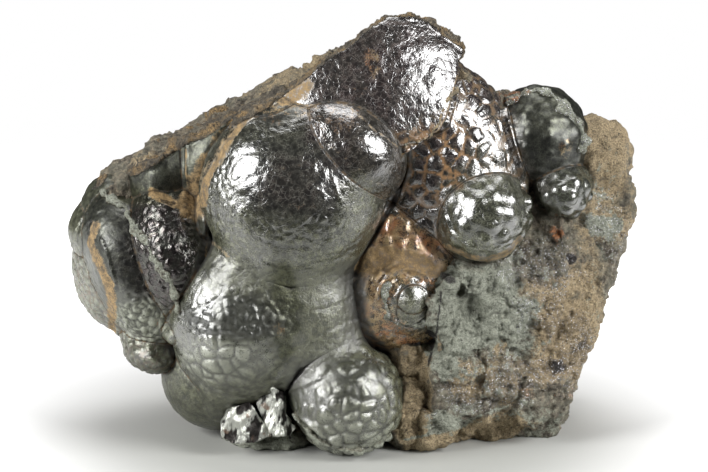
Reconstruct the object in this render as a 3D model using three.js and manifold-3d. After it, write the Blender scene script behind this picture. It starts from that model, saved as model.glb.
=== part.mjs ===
// Botryoidal hematite (kidney ore): one hand-sized piece, broken out of its vein.
//
// The kidneys face the front, -Y. Behind them is the iron-stained matrix on which they grew.
// +X is to the right, +Z is up, and the origin is the middle of the flat on which the piece rests.
// Everything grew together or is the same broken stone, so it is one closed solid. Millimetres.

import * as THREE from 'three';
import { mergeVertices } from 'three/addons/utils/BufferGeometryUtils.js';
import Module from 'manifold-3d';

const wasm = await Module();
wasm.setup();

// ---------------------------------------------------------------- driving dimensions

const KIDNEY_FACET = 2.5;          // edges of the facets on a kidney, on broken matrix,
const BLOCK_FACET = 2.8;           // on a rounded lump of it, and on a ledge
const LUMP_FACET = 1.7;
const LEDGE_FACET = 4;
const BALL_EDGE = 1.05;            // edge of a plain icosahedron of radius 1
const SWELL = 0.035;               // how far a kidney swells or sags, as a part of its radius
const SWELL_SIZE = 0.9;            // size of those swellings on a ball of radius 1
const HACKLE = { height: 1.3, size: 7.5 };      // coarse relief of broken matrix
const FINE_HACKLE = { height: 0.6, size: 3.6 }; // fine relief of broken matrix
const FRACTURE_RELIEF = 0.5;       // share of that relief on a fracture through the kidneys
const LEDGE_RELIEF = [0.8, 1, 0.5]; // and on a ledge, along X, Y and Z
const SLAB = { width: 150, depth: 80, height: 40, step: 6 };
const TUBE_SIDES = 6;
const TUBE_STEP = 2.6;
const FLAT_DEPTH = 40;             // how far the cutter for the resting flat reaches down
const SHORTEST_EDGE = 0.9;         // shorter edges, left where solids join, are drawn together
const SAME_WAY = 0.3;              // how nearly a face keeps its way when an edge is drawn together
const NO_AREA = 1e-3;              // a face smaller than this has no way of its own
const TOUCHING = 1e-4;             // corners this close together are one

// Broken faces that cut kidneys and matrix: the way the face looks, and a point on it.
const UPPER_LEFT = { facing: [-0.5, -0.02, 0.86], through: [-19.4, -14, 57.9] };
const UPPER_RIGHT = { facing: [0.62, 0, 0.78], through: [18.2, -10, 69] };
const CROWN_LEFT = { facing: [-0.6, 0.15, 0.79], through: [-2, -8, 68.6] };
const CROWN_TOP = { facing: [0.12, 0.3, 0.94], through: [8.6, -8, 74] };
const CROWN_FOOT = { facing: [0.5, 0.12, -0.86], through: [12, -15, 55] };
const CROWN_SIDE = { facing: [0.93, 0.1, -0.3], through: [16.5, -15, 60] };
const PLUM_TOP = { facing: [0.12, -0.3, 0.95], through: [-33, -16, 43.2] };
const SHELL_TOP = { facing: [-0.3, -0.2, 0.93], through: [-40.7, -9, 43.2] };
const PEARL_TOP = { facing: [0.08, -0.42, 0.9], through: [0.6, -20.8, 18] };
const FRACTURES = [UPPER_LEFT, UPPER_RIGHT];

// The kidneys. "half" holds half axes, "roll" turns about Y after "tilt" about X, "cuts" are the
// breaks through one.
const KIDNEYS = [
  { name: 'crown', at: [2.5, -8, 59], half: [19.5, 10, 21], roll: 10, tilt: -22,
    cuts: [UPPER_RIGHT, CROWN_LEFT, CROWN_TOP, CROWN_FOOT, CROWN_SIDE] },
  { name: 'collar', at: [-1.2, -14, 52], half: [10.6, 10.6, 10], roll: 35, tilt: -14, cuts: [] },
  { name: 'great dome', at: [-10.6, -15, 45.2], half: [15.8, 12, 15.6], roll: 0, tilt: -8,
    cuts: FRACTURES },
  { name: 'brow', at: [-12.2, -11, 56.2], half: [8.5, 8.8, 6], roll: 25, tilt: 0,
    cuts: FRACTURES },
  { name: 'left hollow', at: [-33.3, -3.4, 47], half: [6.3, 9, 8], roll: 0, tilt: 0,
    cuts: FRACTURES },
  { name: 'right hollow', at: [-24.3, -4, 49.8], half: [6.6, 9.5, 10], roll: 25, tilt: 0,
    cuts: FRACTURES },
  { name: 'plum', at: [-30.6, -8.5, 33.2], half: [8, 11.5, 12.8], roll: -14, tilt: -8,
    cuts: [PLUM_TOP] },
  { name: 'shell', at: [-37.4, -5, 29], half: [8, 12, 15], roll: -24, tilt: 0,
    cuts: [SHELL_TOP] },
  { name: 'ear', at: [-44.6, 2, 34.6], half: [5.8, 9, 5.7], roll: 0, tilt: 0, cuts: [] },
  { name: 'ear tip', at: [-43.2, 2, 39.6], half: [4.6, 8, 4.6], roll: 0, tilt: 0,
    cuts: [UPPER_LEFT] },
  { name: 'flank', at: [-39.6, 3, 26.8], half: [10.2, 12, 12], roll: -20, tilt: 0, cuts: [] },
  { name: 'knuckle', at: [-34.8, -3, 15.2], half: [6.4, 12, 4.4], roll: 10, tilt: 0, cuts: [] },
  { name: 'bud', at: [-30.1, -14, 20.5], half: [2.6, 5, 2.4], roll: 0, tilt: 0, cuts: [] },
  { name: 'lower dome', at: [-19.3, -13.5, 22.7], half: [12.6, 12.5, 14.6], roll: 0,
    tilt: -10, cuts: [] },
  { name: 'olive', at: [-24.5, -5, 10.8], half: [9.6, 12.5, 10.2], roll: 0, tilt: 0, cuts: [] },
  { name: 'pearl', at: [-1, -17.5, 9.4], half: [9.6, 9.8, 9.7], roll: 0, tilt: -10,
    cuts: [PEARL_TOP] },
  { name: 'bridge', at: [-8, -12, 24.6], half: [10, 10.4, 11.6], roll: 0, tilt: -8, cuts: [] },
  { name: 'bowl', at: [6.6, -8, 31.2], half: [13, 10.5, 15.8], roll: 0, tilt: -14, cuts: [] },
  { name: 'eye cup', at: [9.3, -12.6, 25.9], half: [5.2, 6.6, 5.4], roll: 0, tilt: 0, cuts: [] },
  { name: 'eye', at: [9.8, -15.6, 27.2], half: [2.9, 4.5, 3.1], roll: 0, tilt: 0, cuts: [] },
  { name: 'strip', at: [-25.3, -12, 40.7], half: [1.6, 6, 3.8], roll: 0, tilt: 0, cuts: [] },
  { name: 'tear', at: [15.6, -6, 48.4], half: [13.8, 11, 19], roll: -20, tilt: -5,
    cuts: [UPPER_RIGHT] },
  { name: 'tear drop', at: [22, -12, 40.9], half: [8.2, 9.8, 8.2], roll: 0, tilt: 0, cuts: [] },
  { name: 'dark', at: [32.8, -2, 52.2], half: [7.8, 10, 9], roll: -20, tilt: -10, cuts: [] },
  { name: 'dark drop', at: [36.1, -6, 44.1], half: [5, 8.6, 4.8], roll: 0, tilt: 0, cuts: [] },
];

// Small round beads that crowd on the two kidneys at the right.
const BEADS = [
  { on: 'dark', count: 17, radius: 2.1, proud: 0.35 },
  { on: 'dark drop', count: 10, radius: 1.9, proud: 0.4 },
];
const BEADED_REACH = 1.1;          // how far back from the front the beads go, in half axes

// Blocks of broken matrix: a ball of half axes "span", out to the faces that bound it.
const MATRIX = {
  middle: [0, 10, 34],
  span: [47, 17, 34],
  faces: [
    { facing: [0, -1, 0], through: [0, -7, 35] },
    { facing: [0.12, 1, -0.1], through: [6, 27, 30] },
    { facing: [-0.55, 0.8, 0.05], through: [-28, 22, 30] },
    { facing: [0.7, 0.68, 0.1], through: [36, 19, 30] },
    { facing: [0.1, 0.72, -0.68], through: [4, 23, 7] },
    { facing: [-0.93, -0.28, 0.12], through: [-45, 4, 34] },
    { facing: [-0.72, 0.1, -0.69], through: [-33, 4, 17] },
    { facing: [-0.5, -0.02, 0.86], through: [-19.4, -12, 58.5] },
    { facing: [-0.32, 0.6, 0.73], through: [-19.4, 5, 57.5] },
    { facing: [0.3, 0.5, 0.81], through: [10, 2, 68] },
    { facing: [0.1, 0.3, 0.95], through: [32.3, -2, 59.4] },
    { facing: [0.6, 0.15, 0.79], through: [43, 0, 53.6] },
    { facing: [0.93, 0.1, 0.3], through: [47, 0, 48.4] },
    { facing: [0.94, 0.03, -0.33], through: [47.4, 0, 37] },
    { facing: [0.3, -0.9, 0.3], through: [43, -5, 43] },
  ],
};

// The rough block at the lower right, in front of the rest.
const LOWER_RIGHT = {
  middle: [28, -4, 18],
  span: [15, 13, 20],
  faces: [
    { facing: [0.22, -0.97, -0.04], through: [25.1, -17, 19.6] },
    { facing: [-0.98, -0.2, 0], through: [13.6, -17, 19.6] },
    { facing: [-0.05, -0.84, 0.54], through: [30, -14.2, 35] },
    { facing: [0.75, -0.45, 0.48], through: [43.5, -4, 34] },
    { facing: [0, 0.3, 0.95], through: [30, -8.6, 44] },
    { facing: [0.72, -0.69, 0.05], through: [39.5, -12.4, 24] },
    { facing: [0.95, -0.1, -0.32], through: [42.2, -2, 18.5] },
    { facing: [0.18, -0.78, -0.6], through: [9, -16.6, 1.8] },
    { facing: [0, 1, 0], through: [28, 14, 18] },
    { facing: [0.75, 0.66, 0], through: [41, 7, 18] },
    { facing: [0, 0, -1], through: [28, 0, -4] },
  ],
};

// The crest of matrix that backs the crown.
const CREST = {
  middle: [5, -1, 60],
  span: [14, 9, 9],
  faces: [
    { facing: [-0.55, 0.1, 0.83], through: [-4, 0, 65] },
    { facing: [0.1, 0.45, 0.89], through: [6, 0, 68.8] },
    { facing: [0.62, 0.2, 0.76], through: [16, 0, 65] },
    { facing: [0, 0.98, 0.2], through: [5, 9, 60] },
    { facing: [0, -1, 0], through: [5, -9, 60] },
    { facing: [-1, 0.1, 0], through: [-10, 0, 58] },
    { facing: [1, 0, 0], through: [20, 0, 58] },
    { facing: [0, 0, -1], through: [5, 0, 50] },
  ],
};

// Layers of the matrix that stand out as ledges. "size" is along the ledge, in and out, and thick.
const LEDGES = [
  { at: [-39.5, 0, 42.8], size: [11, 13, 4], roll: -30, tilt: 2 },
  { at: [-31.2, 2, 49], size: [10, 13, 3.4], roll: -24, tilt: 2 },
  { at: [-19.5, 3, 55.6], size: [17, 10, 3], roll: -27, tilt: 2 },
  { at: [-6.5, 0, 62.2], size: [9, 10, 4], roll: -36, tilt: 2 },
  { at: [-9, 21.5, 21], size: [38, 10, 7], roll: 9, tilt: -8 },
  { at: [16, 19.5, 43], size: [30, 11, 8], roll: -14, tilt: 10 },
];

// Rounded lumps of matrix, by their half axes.
const LUMPS = [
  { name: 'toe', at: [-14.5, -10, 0.6], half: [8.4, 8.6, 3.2] },
  { name: 'beside the pearl', at: [8.8, -10.6, 5.4], half: [4.4, 8.6, 8.4] },
  { name: 'fibrous strip', at: [10.2, -8.5, 16], half: [5, 8, 8] },
  { name: 'right shoulder', at: [41.6, 1, 47.6], half: [6.6, 8, 7] },
];

// Shallow hollows where flakes came off the back and the sides.
const SCARS = [
  { at: [-15, 51, 47], radius: 30 },
  { at: [17, 57, 20], radius: 33 },
  { at: [-31, 45, 20], radius: 27 },
  { at: [38, 42, 44], radius: 25 },
];
const SCAR_DETAIL = 11;

// A kidney broken open at the bottom, in wedges: the middle of the front of each, how far the
// front leans back to the right and upwards, and its outline in X and Z from the upper left.
const WEDGES = [
  { name: 'left', middle: [-18.5, -20.6, 6], lean: [0.35, 0.3], outline: [[-20.8, 8.4],
    [-18.1, 9.6], [-16.4, 6.6], [-14.4, 3.4], [-17.3, 2.3], [-20.9, 2.6], [-22.9, 3.9],
    [-22.7, 6.3]] },
  { name: 'middle', middle: [-15, -20.4, 8], lean: [-0.5, 0.2], outline: [[-17.2, 10.2],
    [-14.8, 12.6], [-13.4, 9], [-11.8, 4.2], [-14, 3.7], [-15.9, 6.8]] },
  { name: 'right', middle: [-12, -21.4, 8], lean: [0.5, 0.25], outline: [[-14.4, 12.5],
    [-11.6, 11.4], [-11.9, 7.8], [-10.1, 5.1], [-11, 3.6], [-12.4, 4.2], [-13.4, 9]] },
];
const WEDGE_DEPTH = 12;

// Raised edges of broken crust, round bars along a line.
const RIMS = [
  { name: 'shell rim', radius: 1.1, points: [[-40.8, -9.6, 42.4], [-38, -13, 42.4],
    [-35.6, -16.2, 41], [-34, -18.6, 37.9], [-32.4, -19.9, 33.7], [-30.6, -20.4, 29.1],
    [-29.2, -20.8, 24.4]] },
  { name: 'dark rim', radius: 0.8, points: [[26.7, -5, 60], [31.3, -5.4, 60.7],
    [34.2, -6.4, 60.1], [37.2, -7.6, 57.2], [39, -7.6, 52.8], [38.6, -8, 49.8]] },
  { name: 'crown lip', radius: 0.6, points: [[7.8, -18.6, 54], [12.1, -17.2, 55.1],
    [14.3, -15.8, 57.4], [15.8, -13.4, 62.1], [16.7, -12.1, 64.1]] },
  { name: 'pearl rim', radius: 0.7, points: [[-9.7, -21.4, 8.1], [-7.2, -24.2, 5.2],
    [-4, -25, 3.2], [-0.5, -24.8, 2], [4, -22.8, 1.8], [7.4, -18.6, 2.2]] },
  { name: 'eye ring', radius: 0.65, points: [[6.1, -18.6, 30.7], [5, -18.7, 27.7],
    [6.2, -18.4, 24.4], [9.3, -18, 22.8], [12.4, -17.4, 24.4], [14.4, -16.6, 27.6]] },
];

// Open cracks between kidneys, cut as round grooves.
const CRACKS = [
  { name: 'right of the great dome', radius: 0.9, points: [[7.8, -18.9, 52.6],
    [7.2, -20.2, 51], [5.8, -20.6, 48.3], [4.6, -19.4, 44.5], [2.1, -21, 40.4],
    [-0.3, -22.2, 38], [-2.3, -22, 35.5], [-3.2, -19, 32.1]] },
  { name: 'under the crown', radius: 0.8, points: [[9, -18, 53.2], [13, -15.8, 53.8],
    [15.6, -14.6, 57], [16.8, -13.4, 60.4], [17.8, -11.4, 63]] },
  { name: 'right of the tear', radius: 0.9, points: [[25.6, -8, 59], [26.3, -10, 57],
    [27.5, -11, 53.5], [28.2, -11, 50], [29, -11, 46.5], [30.2, -11.5, 42]] },
  { name: 'round the eye', radius: 0.7, points: [[7.6, -19.2, 28.8], [6.9, -19.2, 26.2],
    [8.1, -19, 24], [10.4, -18.8, 23.6], [12.4, -18.6, 25]] },
];

const PIT = { at: [37.6, -12, 31], radius: 2 };
const PIT_DETAIL = 2;

const Z = new THREE.Vector3(0, 0, 1);

// ---------------------------------------------------------------- relief

function hash(x, y, z) {
  const wave = Math.sin(x * 127.1 + y * 311.7 + z * 74.7) * 43758.5453;
  return wave - Math.floor(wave);
}

// Smooth chance values from -1 to 1, about "size" apart.
function noise(point, size) {
  const cell = [point.x, point.y, point.z].map((value) => Math.floor(value / size));
  const part = [point.x, point.y, point.z].map((value, axis) => value / size - cell[axis]);
  const ease = part.map((value) => value * value * (3 - 2 * value));
  let sum = 0;
  for (const i of [0, 1]) {
    for (const j of [0, 1]) {
      for (const k of [0, 1]) {
        const weight = (i ? ease[0] : 1 - ease[0]) * (j ? ease[1] : 1 - ease[1])
          * (k ? ease[2] : 1 - ease[2]);
        sum += weight * hash(cell[0] + i, cell[1] + j, cell[2] + k);
      }
    }
  }
  return 2 * sum - 1;
}

function hackle(point) {
  return HACKLE.height * noise(point, HACKLE.size)
    + FINE_HACKLE.height * noise(point, FINE_HACKLE.size);
}

// Calls move(point) on every corner, so that corners in the same place stay together.
function moveCorners(geometry, move) {
  const corners = geometry.attributes.position;
  const point = new THREE.Vector3();
  for (let i = 0; i < corners.count; i += 1) {
    point.fromBufferAttribute(corners, i);
    move(point);
    corners.setXYZ(i, point.x, point.y, point.z);
  }
  return geometry;
}

// ---------------------------------------------------------------- solids

function solid(geometry) {
  geometry.deleteAttribute('normal');
  geometry.deleteAttribute('uv');
  const merged = mergeVertices(geometry, TOUCHING);
  return new wasm.Manifold(new wasm.Mesh({
    numProp: 3,
    vertProperties: new Float32Array(merged.attributes.position.array),
    triVerts: new Uint32Array(merged.index.array),
  }));
}

function radians(degrees) {
  return THREE.MathUtils.degToRad(degrees);
}

// How finely a ball with these half axes is divided for facets of about the given edge.
function detailOf(half, facet) {
  const radius = Math.cbrt(half[0] * half[1] * half[2]);
  return Math.max(1, Math.round(BALL_EDGE * radius / facet) - 1);
}

function kidney({ at, half, roll, tilt, cuts }) {
  const geometry = new THREE.IcosahedronGeometry(1, detailOf(half, KIDNEY_FACET));
  const place = new THREE.Vector3(...at);
  moveCorners(geometry, (point) => {
    point.multiplyScalar(1 + SWELL * noise(point.clone().add(place), SWELL_SIZE));
  });
  geometry.scale(...half);
  geometry.rotateX(radians(tilt));
  geometry.rotateY(radians(roll));
  geometry.translate(...at);
  return cut(solid(geometry), cuts.map(beyond));
}

// Beads spread evenly over the front and sides of a kidney.
function beads({ on, count, radius, proud }) {
  const { at, half, roll, tilt } = KIDNEYS.find((item) => item.name === on);
  return Array.from({ length: count }, (_, i) => {
    const front = 1 - BEADED_REACH * (i + 0.5) / count;
    const around = i * Math.PI * (3 - Math.sqrt(5));
    const reach = Math.sqrt(1 - front * front);
    const way = [reach * Math.cos(around), -front, reach * Math.sin(around)];
    const geometry = new THREE.IcosahedronGeometry(radius, 1);
    geometry.rotateX(i);
    geometry.translate(...way.map((value, axis) => value * (half[axis] - radius + proud)));
    geometry.rotateX(radians(tilt));
    geometry.rotateY(radians(roll));
    geometry.translate(...at);
    return solid(geometry);
  });
}

// A block of broken matrix: a ball pushed out to flat faces, then roughened.
function block({ middle, span, faces }) {
  const centre = new THREE.Vector3(...middle);
  const planes = faces.map(({ facing, through }) => {
    const normal = new THREE.Vector3(...facing).normalize();
    return { normal, distance: normal.dot(new THREE.Vector3(...through).sub(centre)) };
  });
  const geometry = new THREE.IcosahedronGeometry(1, detailOf(span, BLOCK_FACET));
  geometry.scale(...span);
  moveCorners(geometry, (point) => {
    const way = point.clone().normalize();
    const reaches = planes
      .filter(({ normal }) => normal.dot(way) > 0)
      .map(({ normal, distance }) => distance / normal.dot(way));
    point.copy(way).multiplyScalar(Math.min(...reaches));
    point.add(centre);
    point.addScaledVector(way, hackle(point));
  });
  return solid(geometry);
}

// Everything beyond a broken face, with the relief of the break on its underside.
function beyond({ facing, through }) {
  const { width, depth, height, step } = SLAB;
  const geometry = new THREE.BoxGeometry(width, depth, height,
    Math.round(width / step), Math.round(depth / step), 1);
  geometry.translate(0, 0, height / 2);
  const turn = new THREE.Quaternion()
    .setFromUnitVectors(Z, new THREE.Vector3(...facing).normalize());
  const place = new THREE.Vector3(...through);
  moveCorners(geometry, (point) => {
    const broken = point.z < TOUCHING;
    point.applyQuaternion(turn).add(place);
    if (broken) {
      point.addScaledVector(Z, FRACTURE_RELIEF * hackle(point));
    }
  });
  return solid(geometry);
}

function lump({ at, half }) {
  const geometry = new THREE.IcosahedronGeometry(1, detailOf(half, LUMP_FACET));
  const place = new THREE.Vector3(...at);
  geometry.scale(...half);
  moveCorners(geometry, (point) => {
    const way = point.clone().normalize();
    point.add(place);
    point.addScaledVector(way, hackle(point));
  });
  return solid(geometry);
}

function ledge({ at, size, roll, tilt }) {
  const geometry = new THREE.BoxGeometry(...size,
    ...size.map((side) => Math.ceil(side / LEDGE_FACET)));
  const place = new THREE.Vector3(...at);
  geometry.rotateX(radians(tilt));
  geometry.rotateY(radians(roll));
  moveCorners(geometry, (point) => {
    point.add(place);
    point.addScaledVector(new THREE.Vector3(...LEDGE_RELIEF), hackle(point));
  });
  return solid(geometry);
}

// One wedge of the broken kidney, from its leaning front back into the stone.
function wedge({ middle, lean, outline }) {
  const shape = new THREE.Shape(outline.map(([x, z]) => new THREE.Vector2(x, z)));
  const geometry = new THREE.ExtrudeGeometry(shape, { depth: WEDGE_DEPTH, bevelEnabled: false });
  geometry.rotateX(Math.PI / 2);
  moveCorners(geometry, (point) => {
    const onFront = point.y < -WEDGE_DEPTH / 2;
    point.y = middle[1] + (onFront ? 0 : WEDGE_DEPTH);
    if (onFront) {
      point.y += lean[0] * (point.x - middle[0]) + lean[1] * (point.z - middle[2]);
    }
  });
  return solid(geometry);
}

// A round bar along a line, for a rim that is added or a crack that is cut.
function bar({ points, radius }) {
  const line = new THREE.CatmullRomCurve3(points.map((point) => new THREE.Vector3(...point)));
  const section = new THREE.Shape(
    Array.from({ length: TUBE_SIDES }, (_, i) => new THREE.Vector2(
      radius * Math.cos(i * 2 * Math.PI / TUBE_SIDES),
      radius * Math.sin(i * 2 * Math.PI / TUBE_SIDES),
    )),
  );
  const steps = Math.ceil(line.getLength() / TUBE_STEP);
  return solid(new THREE.ExtrudeGeometry(section, { steps, extrudePath: line, bevelEnabled: false }));
}

function ball({ at, radius }, detail) {
  const geometry = new THREE.IcosahedronGeometry(radius, detail);
  geometry.translate(...at);
  return solid(geometry);
}

function scar(place) {
  return ball(place, SCAR_DETAIL);
}

function belowFlat() {
  const geometry = new THREE.BoxGeometry(SLAB.width, SLAB.width, FLAT_DEPTH);
  geometry.translate(0, 0, -FLAT_DEPTH / 2);
  return solid(geometry);
}

function join(first, others) {
  return others.reduce((sum, next) => sum.add(next), first);
}

function cut(first, others) {
  return others.reduce((rest, next) => rest.subtract(next), first);
}

// Whether moving one corner of a face to a new place would turn the face over.
function turnsOver(face, corners, moved, place) {
  const before = new THREE.Triangle(...face.map((corner) => corners[corner]));
  const after = new THREE.Triangle(
    ...face.map((corner) => (corner === moved ? place : corners[corner])),
  );
  const wasWay = before.getNormal(new THREE.Vector3());
  const isWay = after.getNormal(new THREE.Vector3());
  return before.getArea() > NO_AREA && wasWay.dot(isWay) < SAME_WAY;
}

// Draws short edges together, each to its middle. An edge goes only where its two ends have just
// two neighbours in common, which keeps the body closed.
function withoutSlivers(shape) {
  const { vertProperties, triVerts } = shape.getMesh();
  const corners = Array.from({ length: vertProperties.length / 3 },
    (_, i) => new THREE.Vector3().fromArray(vertProperties, 3 * i));
  const faces = Array.from({ length: triVerts.length / 3 },
    (_, i) => Array.from(triVerts.subarray(3 * i, 3 * i + 3)));
  const facesAt = corners.map(() => new Set());
  faces.forEach((face, i) => face.forEach((corner) => facesAt[corner].add(i)));
  const neighbours = (corner) => new Set([...facesAt[corner]].flatMap((i) => faces[i]));

  function drawTogether(kept, gone) {
    const shared = [...facesAt[gone]].filter((i) => faces[i].includes(kept));
    const common = [...neighbours(kept)].filter((corner) => neighbours(gone).has(corner));
    const place = corners[kept].clone().lerp(corners[gone], 0.5);
    const turned = [kept, gone].some((moved) => [...facesAt[moved]].some(
      (i) => !shared.includes(i) && turnsOver(faces[i], corners, moved, place),
    ));
    if (shared.length !== 2 || common.length !== 4 || turned) {
      return;
    }
    shared.forEach((i) => {
      faces[i].forEach((corner) => facesAt[corner].delete(i));
      faces[i] = null;
    });
    facesAt[gone].forEach((i) => {
      faces[i] = faces[i].map((corner) => (corner === gone ? kept : corner));
      facesAt[kept].add(i);
    });
    facesAt[gone].clear();
    corners[kept].copy(place);
  }

  const edges = faces.flatMap((face) => face.map((corner, i) => [corner, face[(i + 1) % 3]]))
    .filter(([first, second]) => first < second)
    .sort((one, two) => corners[one[0]].distanceTo(corners[one[1]])
      - corners[two[0]].distanceTo(corners[two[1]]));
  edges.forEach(([first, second]) => {
    const alive = facesAt[first].size > 0 && facesAt[second].size > 0;
    if (alive && corners[first].distanceTo(corners[second]) < SHORTEST_EDGE) {
      drawTogether(first, second);
    }
  });

  const geometry = new THREE.BufferGeometry();
  geometry.setAttribute('position',
    new THREE.Float32BufferAttribute(corners.flatMap((corner) => corner.toArray()), 3));
  geometry.setIndex(faces.filter((face) => face).flat());
  return solid(geometry.toNonIndexed());
}

// ---------------------------------------------------------------- the piece

// The outer skin alone: a hollow that kidneys close off between them is solid stone.
function outerSkin(shape) {
  return shape.decompose()
    .reduce((outer, skin) => (skin.volume() > outer.volume() ? skin : outer));
}

function hematite() {
  const matrix = join(block(MATRIX), LEDGES.map(ledge));
  const broken = cut(matrix, [...FRACTURES.map(beyond), ...SCARS.map(scar)]);
  const grown = join(broken, KIDNEYS.map(kidney));
  const whole = join(grown, [
    block(CREST),
    block(LOWER_RIGHT),
    ...BEADS.flatMap(beads),
    ...LUMPS.map(lump),
    ...WEDGES.map(wedge),
  ]);
  const cracked = cut(whole, [...CRACKS.map(bar), ball(PIT, PIT_DETAIL)]);
  const rimmed = outerSkin(join(cracked, RIMS.map(bar)));
  return withoutSlivers(rimmed).subtract(belowFlat());
}

function meshOf(shape, name, material) {
  const { vertProperties, triVerts } = shape.getMesh();
  const geometry = new THREE.BufferGeometry();
  geometry.setAttribute('position', new THREE.BufferAttribute(vertProperties, 3));
  geometry.setIndex(new THREE.BufferAttribute(triVerts, 1));
  const mesh = new THREE.Mesh(geometry, material);
  mesh.name = name;
  return mesh;
}

const ironGrey = new THREE.MeshStandardMaterial({ color: 0x3a3634, roughness: 0.3, metalness: 0.85 });

const group = new THREE.Group();
group.add(meshOf(hematite(), 'hematite', ironGrey));

export default group;
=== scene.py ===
import math
import random

import bmesh
import bpy
import numpy as np
from mathutils import Matrix, Vector, noise


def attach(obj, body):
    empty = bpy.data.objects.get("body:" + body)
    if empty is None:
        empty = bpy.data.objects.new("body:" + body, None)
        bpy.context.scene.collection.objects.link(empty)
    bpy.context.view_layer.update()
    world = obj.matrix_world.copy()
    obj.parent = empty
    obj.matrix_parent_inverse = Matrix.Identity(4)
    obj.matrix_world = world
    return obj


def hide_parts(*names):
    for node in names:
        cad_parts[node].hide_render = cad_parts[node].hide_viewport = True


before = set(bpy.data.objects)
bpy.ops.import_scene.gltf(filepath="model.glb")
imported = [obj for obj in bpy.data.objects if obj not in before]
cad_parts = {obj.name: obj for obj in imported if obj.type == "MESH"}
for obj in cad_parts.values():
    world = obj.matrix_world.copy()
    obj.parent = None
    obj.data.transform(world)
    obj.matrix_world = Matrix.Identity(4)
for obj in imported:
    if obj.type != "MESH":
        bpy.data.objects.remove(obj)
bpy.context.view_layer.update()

# A specimen of kidney ore. Shapes are worked out in millimetres and put into the scene in metres.
# +X is to the right, -Y towards the viewer of the kidneys, +Z up; it rests on the flat at Z = 0.
MM = 0.001

# ---------------------------------------------------------------- the drawing of the front
# Marks and patches are drawn on a sheet in front of the piece, square to the line of sight,
# 708 across and 472 down from its upper left corner, and carried back onto the stone.
SHEET_WIDE, SHEET_HIGH = 708, 472
SIGHT_DOWN = math.radians(14)
EYE_DISTANCE = 520.4
EYE_TARGET_HEIGHT = 33.8
LENS, SENSOR = 150, 36
SIGHT = np.array([0, math.cos(SIGHT_DOWN), -math.sin(SIGHT_DOWN)])
UPRIGHT = np.array([0, math.sin(SIGHT_DOWN), math.cos(SIGHT_DOWN)])
EYE = np.array([0, 0, EYE_TARGET_HEIGHT]) - EYE_DISTANCE * SIGHT
SHEET_SCALE = LENS / SENSOR * SHEET_WIDE


def on_sheet(points):
    """Where points of the stone fall on the drawing of the front."""
    rays = points - EYE
    away = rays @ SIGHT
    across = SHEET_WIDE / 2 + SHEET_SCALE * rays[:, 0] / away
    down = SHEET_HIGH / 2 - SHEET_SCALE * (rays @ UPRIGHT) / away
    return np.column_stack([across, down])


# ---------------------------------------------------------------- the growth
# A break: the way the broken face looks, and a point on it.
UPPER_LEFT = ((-0.5, -0.02, 0.86), (-19.4, -14, 57.9))
UPPER_RIGHT = ((0.62, 0, 0.78), (18.2, -10, 69))
CROWN_LEFT = ((-0.6, 0.15, 0.79), (-2, -8, 68.6))
CROWN_TOP = ((0.12, 0.3, 0.94), (8.6, -8, 74))
CROWN_FOOT = ((0.5, 0.12, -0.86), (12, -15, 55))
CROWN_SIDE = ((0.93, 0.1, -0.3), (16.5, -15, 60))
PLUM_TOP = ((0.12, -0.3, 0.95), (-33, -16, 43.2))
SHELL_TOP = ((-0.3, -0.2, 0.93), (-40.7, -9, 43.2))
PEARL_TOP = ((0.08, -0.42, 0.9), (0.6, -20.8, 18))
FRACTURES = [UPPER_LEFT, UPPER_RIGHT]

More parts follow.
